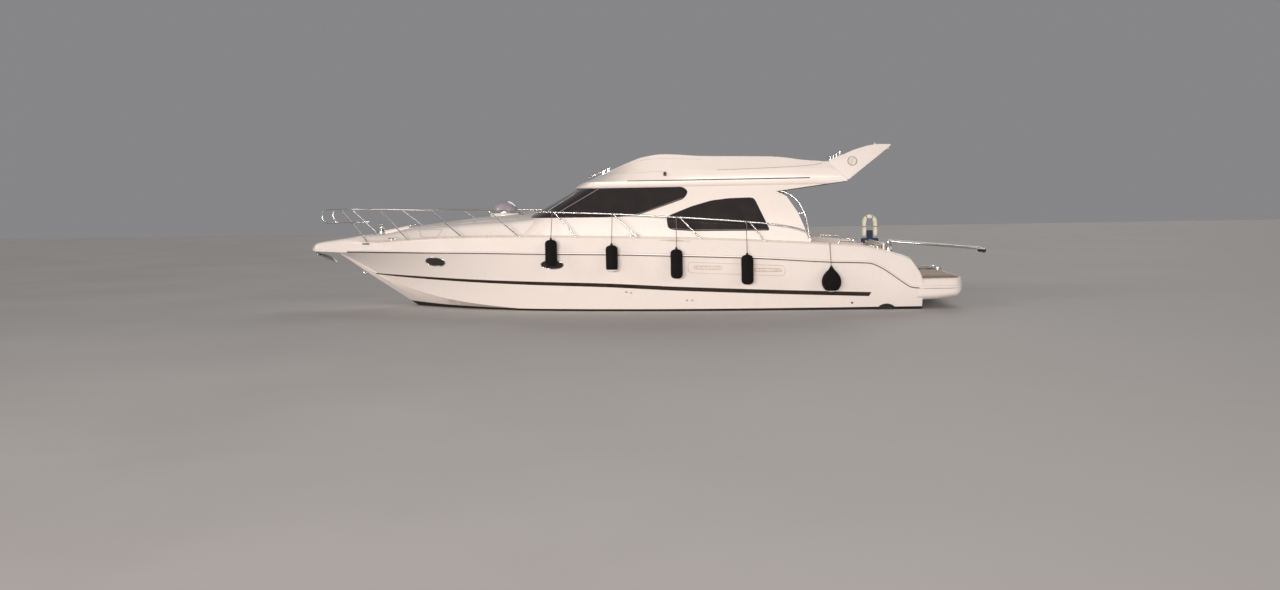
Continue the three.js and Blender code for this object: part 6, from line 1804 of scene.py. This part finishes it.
PASS_AT, PASS_HALF, PASS_LENGTH, PASS_TILT = Vector((-5.27, 0.64, 1.2)), 0.2, 1.8, math.radians(5.5)
turret = Shape().loft([
    [(u, v, z) for u, v in oval(PASS_AT.x, PASS_AT.y, 0.06 * s, 0.08 * s, 4.0, 32)]
    for s, z in ((1.0, 1.0), (1.0, 1.13), (0.9, 1.148), (0.6, 1.152), (0.55, 1.17))
])
piece("passerelle_turret", turret, STEEL, replaces="passerelle_base", crisp=40)
walk, boards, wheels = Shape(), Shape(), Shape()
for side in (-1, 1):
    walk.tube([(x, side * PASS_HALF, 0.025) for x in (-0.02, -0.9, -PASS_LENGTH)], 0.022, 16)
    at = (-PASS_LENGTH + 0.01, side * 0.15 - 0.02, -0.008)
    wheels.lathe([(0.036, 0), (0.045, 0.008), (0.045, 0.032), (0.036, 0.04)], at, (0, 1, 0), 28)
for x in (-0.06, -0.5, -0.95, -1.4, -1.79):
    walk.box((x - 0.015, -PASS_HALF, 0.008), (x + 0.015, PASS_HALF, 0.026))
walk.box((-0.09, -0.06, -0.006), (0, 0.06, 0.034)).lathe(rod(0.0297, 0, 0.12), (0, -0.06, 0), (0, 1, 0), 28)
for k in range(7):
    y = -0.165 + k * 0.0475
    boards.box((-PASS_LENGTH, y, 0.022), (-0.06, y + 0.041, 0.034))
pose = Matrix.Translation(PASS_AT) @ Matrix.Rotation(-PASS_TILT, 4, "Y")
piece("passerelle_frame", walk.moved(pose), STEEL, "passerelle", replaces="passerelle", bevelled=0.001, crisp=40)
piece("passerelle_boards", boards.moved(pose), TEAK_LENGTHWAYS, "passerelle", bevelled=0.002)
piece("passerelle_wheels", wheels.moved(pose), RUBBER, "passerelle")

BUOY_X, BUOY_Y, BUOY_R = -5.235, -1.745, 0.048
HALF_SHOE = [(0.118, 1.25), (0.118, 1.40), (0.118, 1.54), (0.084, 1.632)]
shoe = [(-u, z) for u, z in HALF_SHOE] + [(0, 1.665)] + HALF_SHOE[::-1]
horseshoe = smooth_path([(BUOY_X + u, BUOY_Y, z) for u, z in shoe])
from_end = [min(k, len(horseshoe) - 1 - k) for k in range(len(horseshoe))]
radii = [BUOY_R * min(1, 0.75 + 0.25 * k / 3) for k in from_end]
piece("lifebuoy_foam", Shape().tube(horseshoe, radii, 24), CREAM, replaces="lifebuoy", crisp=50)
bands = Shape()
for k in (8, 20, 28, 40):
    along = (horseshoe[k + 1] - horseshoe[k - 1]).normalized() * 0.012
    bands.tube([horseshoe[k] - along, horseshoe[k] + along], BUOY_R + 0.0015, 24)
piece("lifebuoy_bands", bands, GREY)
holder = Shape().box((BUOY_X - 0.185, BUOY_Y - 0.055, 1.02), (BUOY_X + 0.185, BUOY_Y + 0.045, 1.2))
holder.box((BUOY_X - 0.065, BUOY_Y - 0.045, 1.18), (BUOY_X + 0.065, BUOY_Y + 0.035, 1.37))
piece("lifebuoy_holder", holder, NAVY, bevelled=0.02)
print("cockpit and stern done")


# %% [markdown]
# Stage. The boat floats, so the floor lies at its waterline and hides the underwater body. Soft lamps hang
# high over the near side, and a pale world fills the shadows.

# %% Floor, lamps and world
floor_finish = Finish("floor")
clouds = floor_finish.group(CLOUDING, Size=4.0, Contrast=1.0)
floor_finish.paint(
    floor_finish.colours(clouds, (0.46, 0.45, 0.44), (0.50, 0.49, 0.48)), floor_finish.between(clouds, 0.75, 0.85)
)
floor = raw_object("floor", Shape().add([(-60, -60, 0), (60, -60, 0), (60, 60, 0), (-60, 60, 0)], [(0, 1, 2, 3)]))
floor.data.materials.append(floor_finish.material)


def lamp(name, place, aim, colour, strength, size=None, angle=0.0):
    """A soft box when it has a size, and else a soft sun that shines from the same side."""
    data = bpy.data.lights.new(name, "AREA" if size else "SUN")
    data.energy, data.color = strength, colour
    if size:
        data.shape, data.size, data.size_y = "RECTANGLE", size[0], size[1]
        data.spread = math.radians(75)
    else:
        data.angle = math.radians(angle)
    obj = bpy.data.objects.new(name, data)
    obj.location = place
    obj.rotation_euler = (Vector(aim) - Vector(place)).to_track_quat("-Z", "Y").to_euler()
    bpy.context.scene.collection.objects.link(obj)
    return obj


lamp("key", (3.0, 32.0, 4.3), (-0.5, 0, 1.2), (1.0, 0.89, 0.83), 1350, size=(20, 3.4))
lamp("fill", (-16.0, 14.0, 7.0), (-1.5, 0, 1.2), (1.0, 0.93, 0.88), 0.35, angle=20)
lamp("rim", (-3.0, -12.0, 9.0), (0, 0, 1.5), (1.0, 0.95, 0.90), 0.7, angle=30)
lamp("bow", (14.0, 4.0, 6.0), (4.0, 0, 1.5), (1.0, 0.93, 0.88), 0.55, angle=20)
world = bpy.data.worlds.new("pale")
world.use_nodes = True
world.node_tree.nodes["Background"].inputs["Color"].default_value = (0.80, 0.80, 0.82, 1)
world.node_tree.nodes["Background"].inputs["Strength"].default_value = 0.30
bpy.context.scene.world = world
bpy.context.scene.view_settings.view_transform = "Standard"
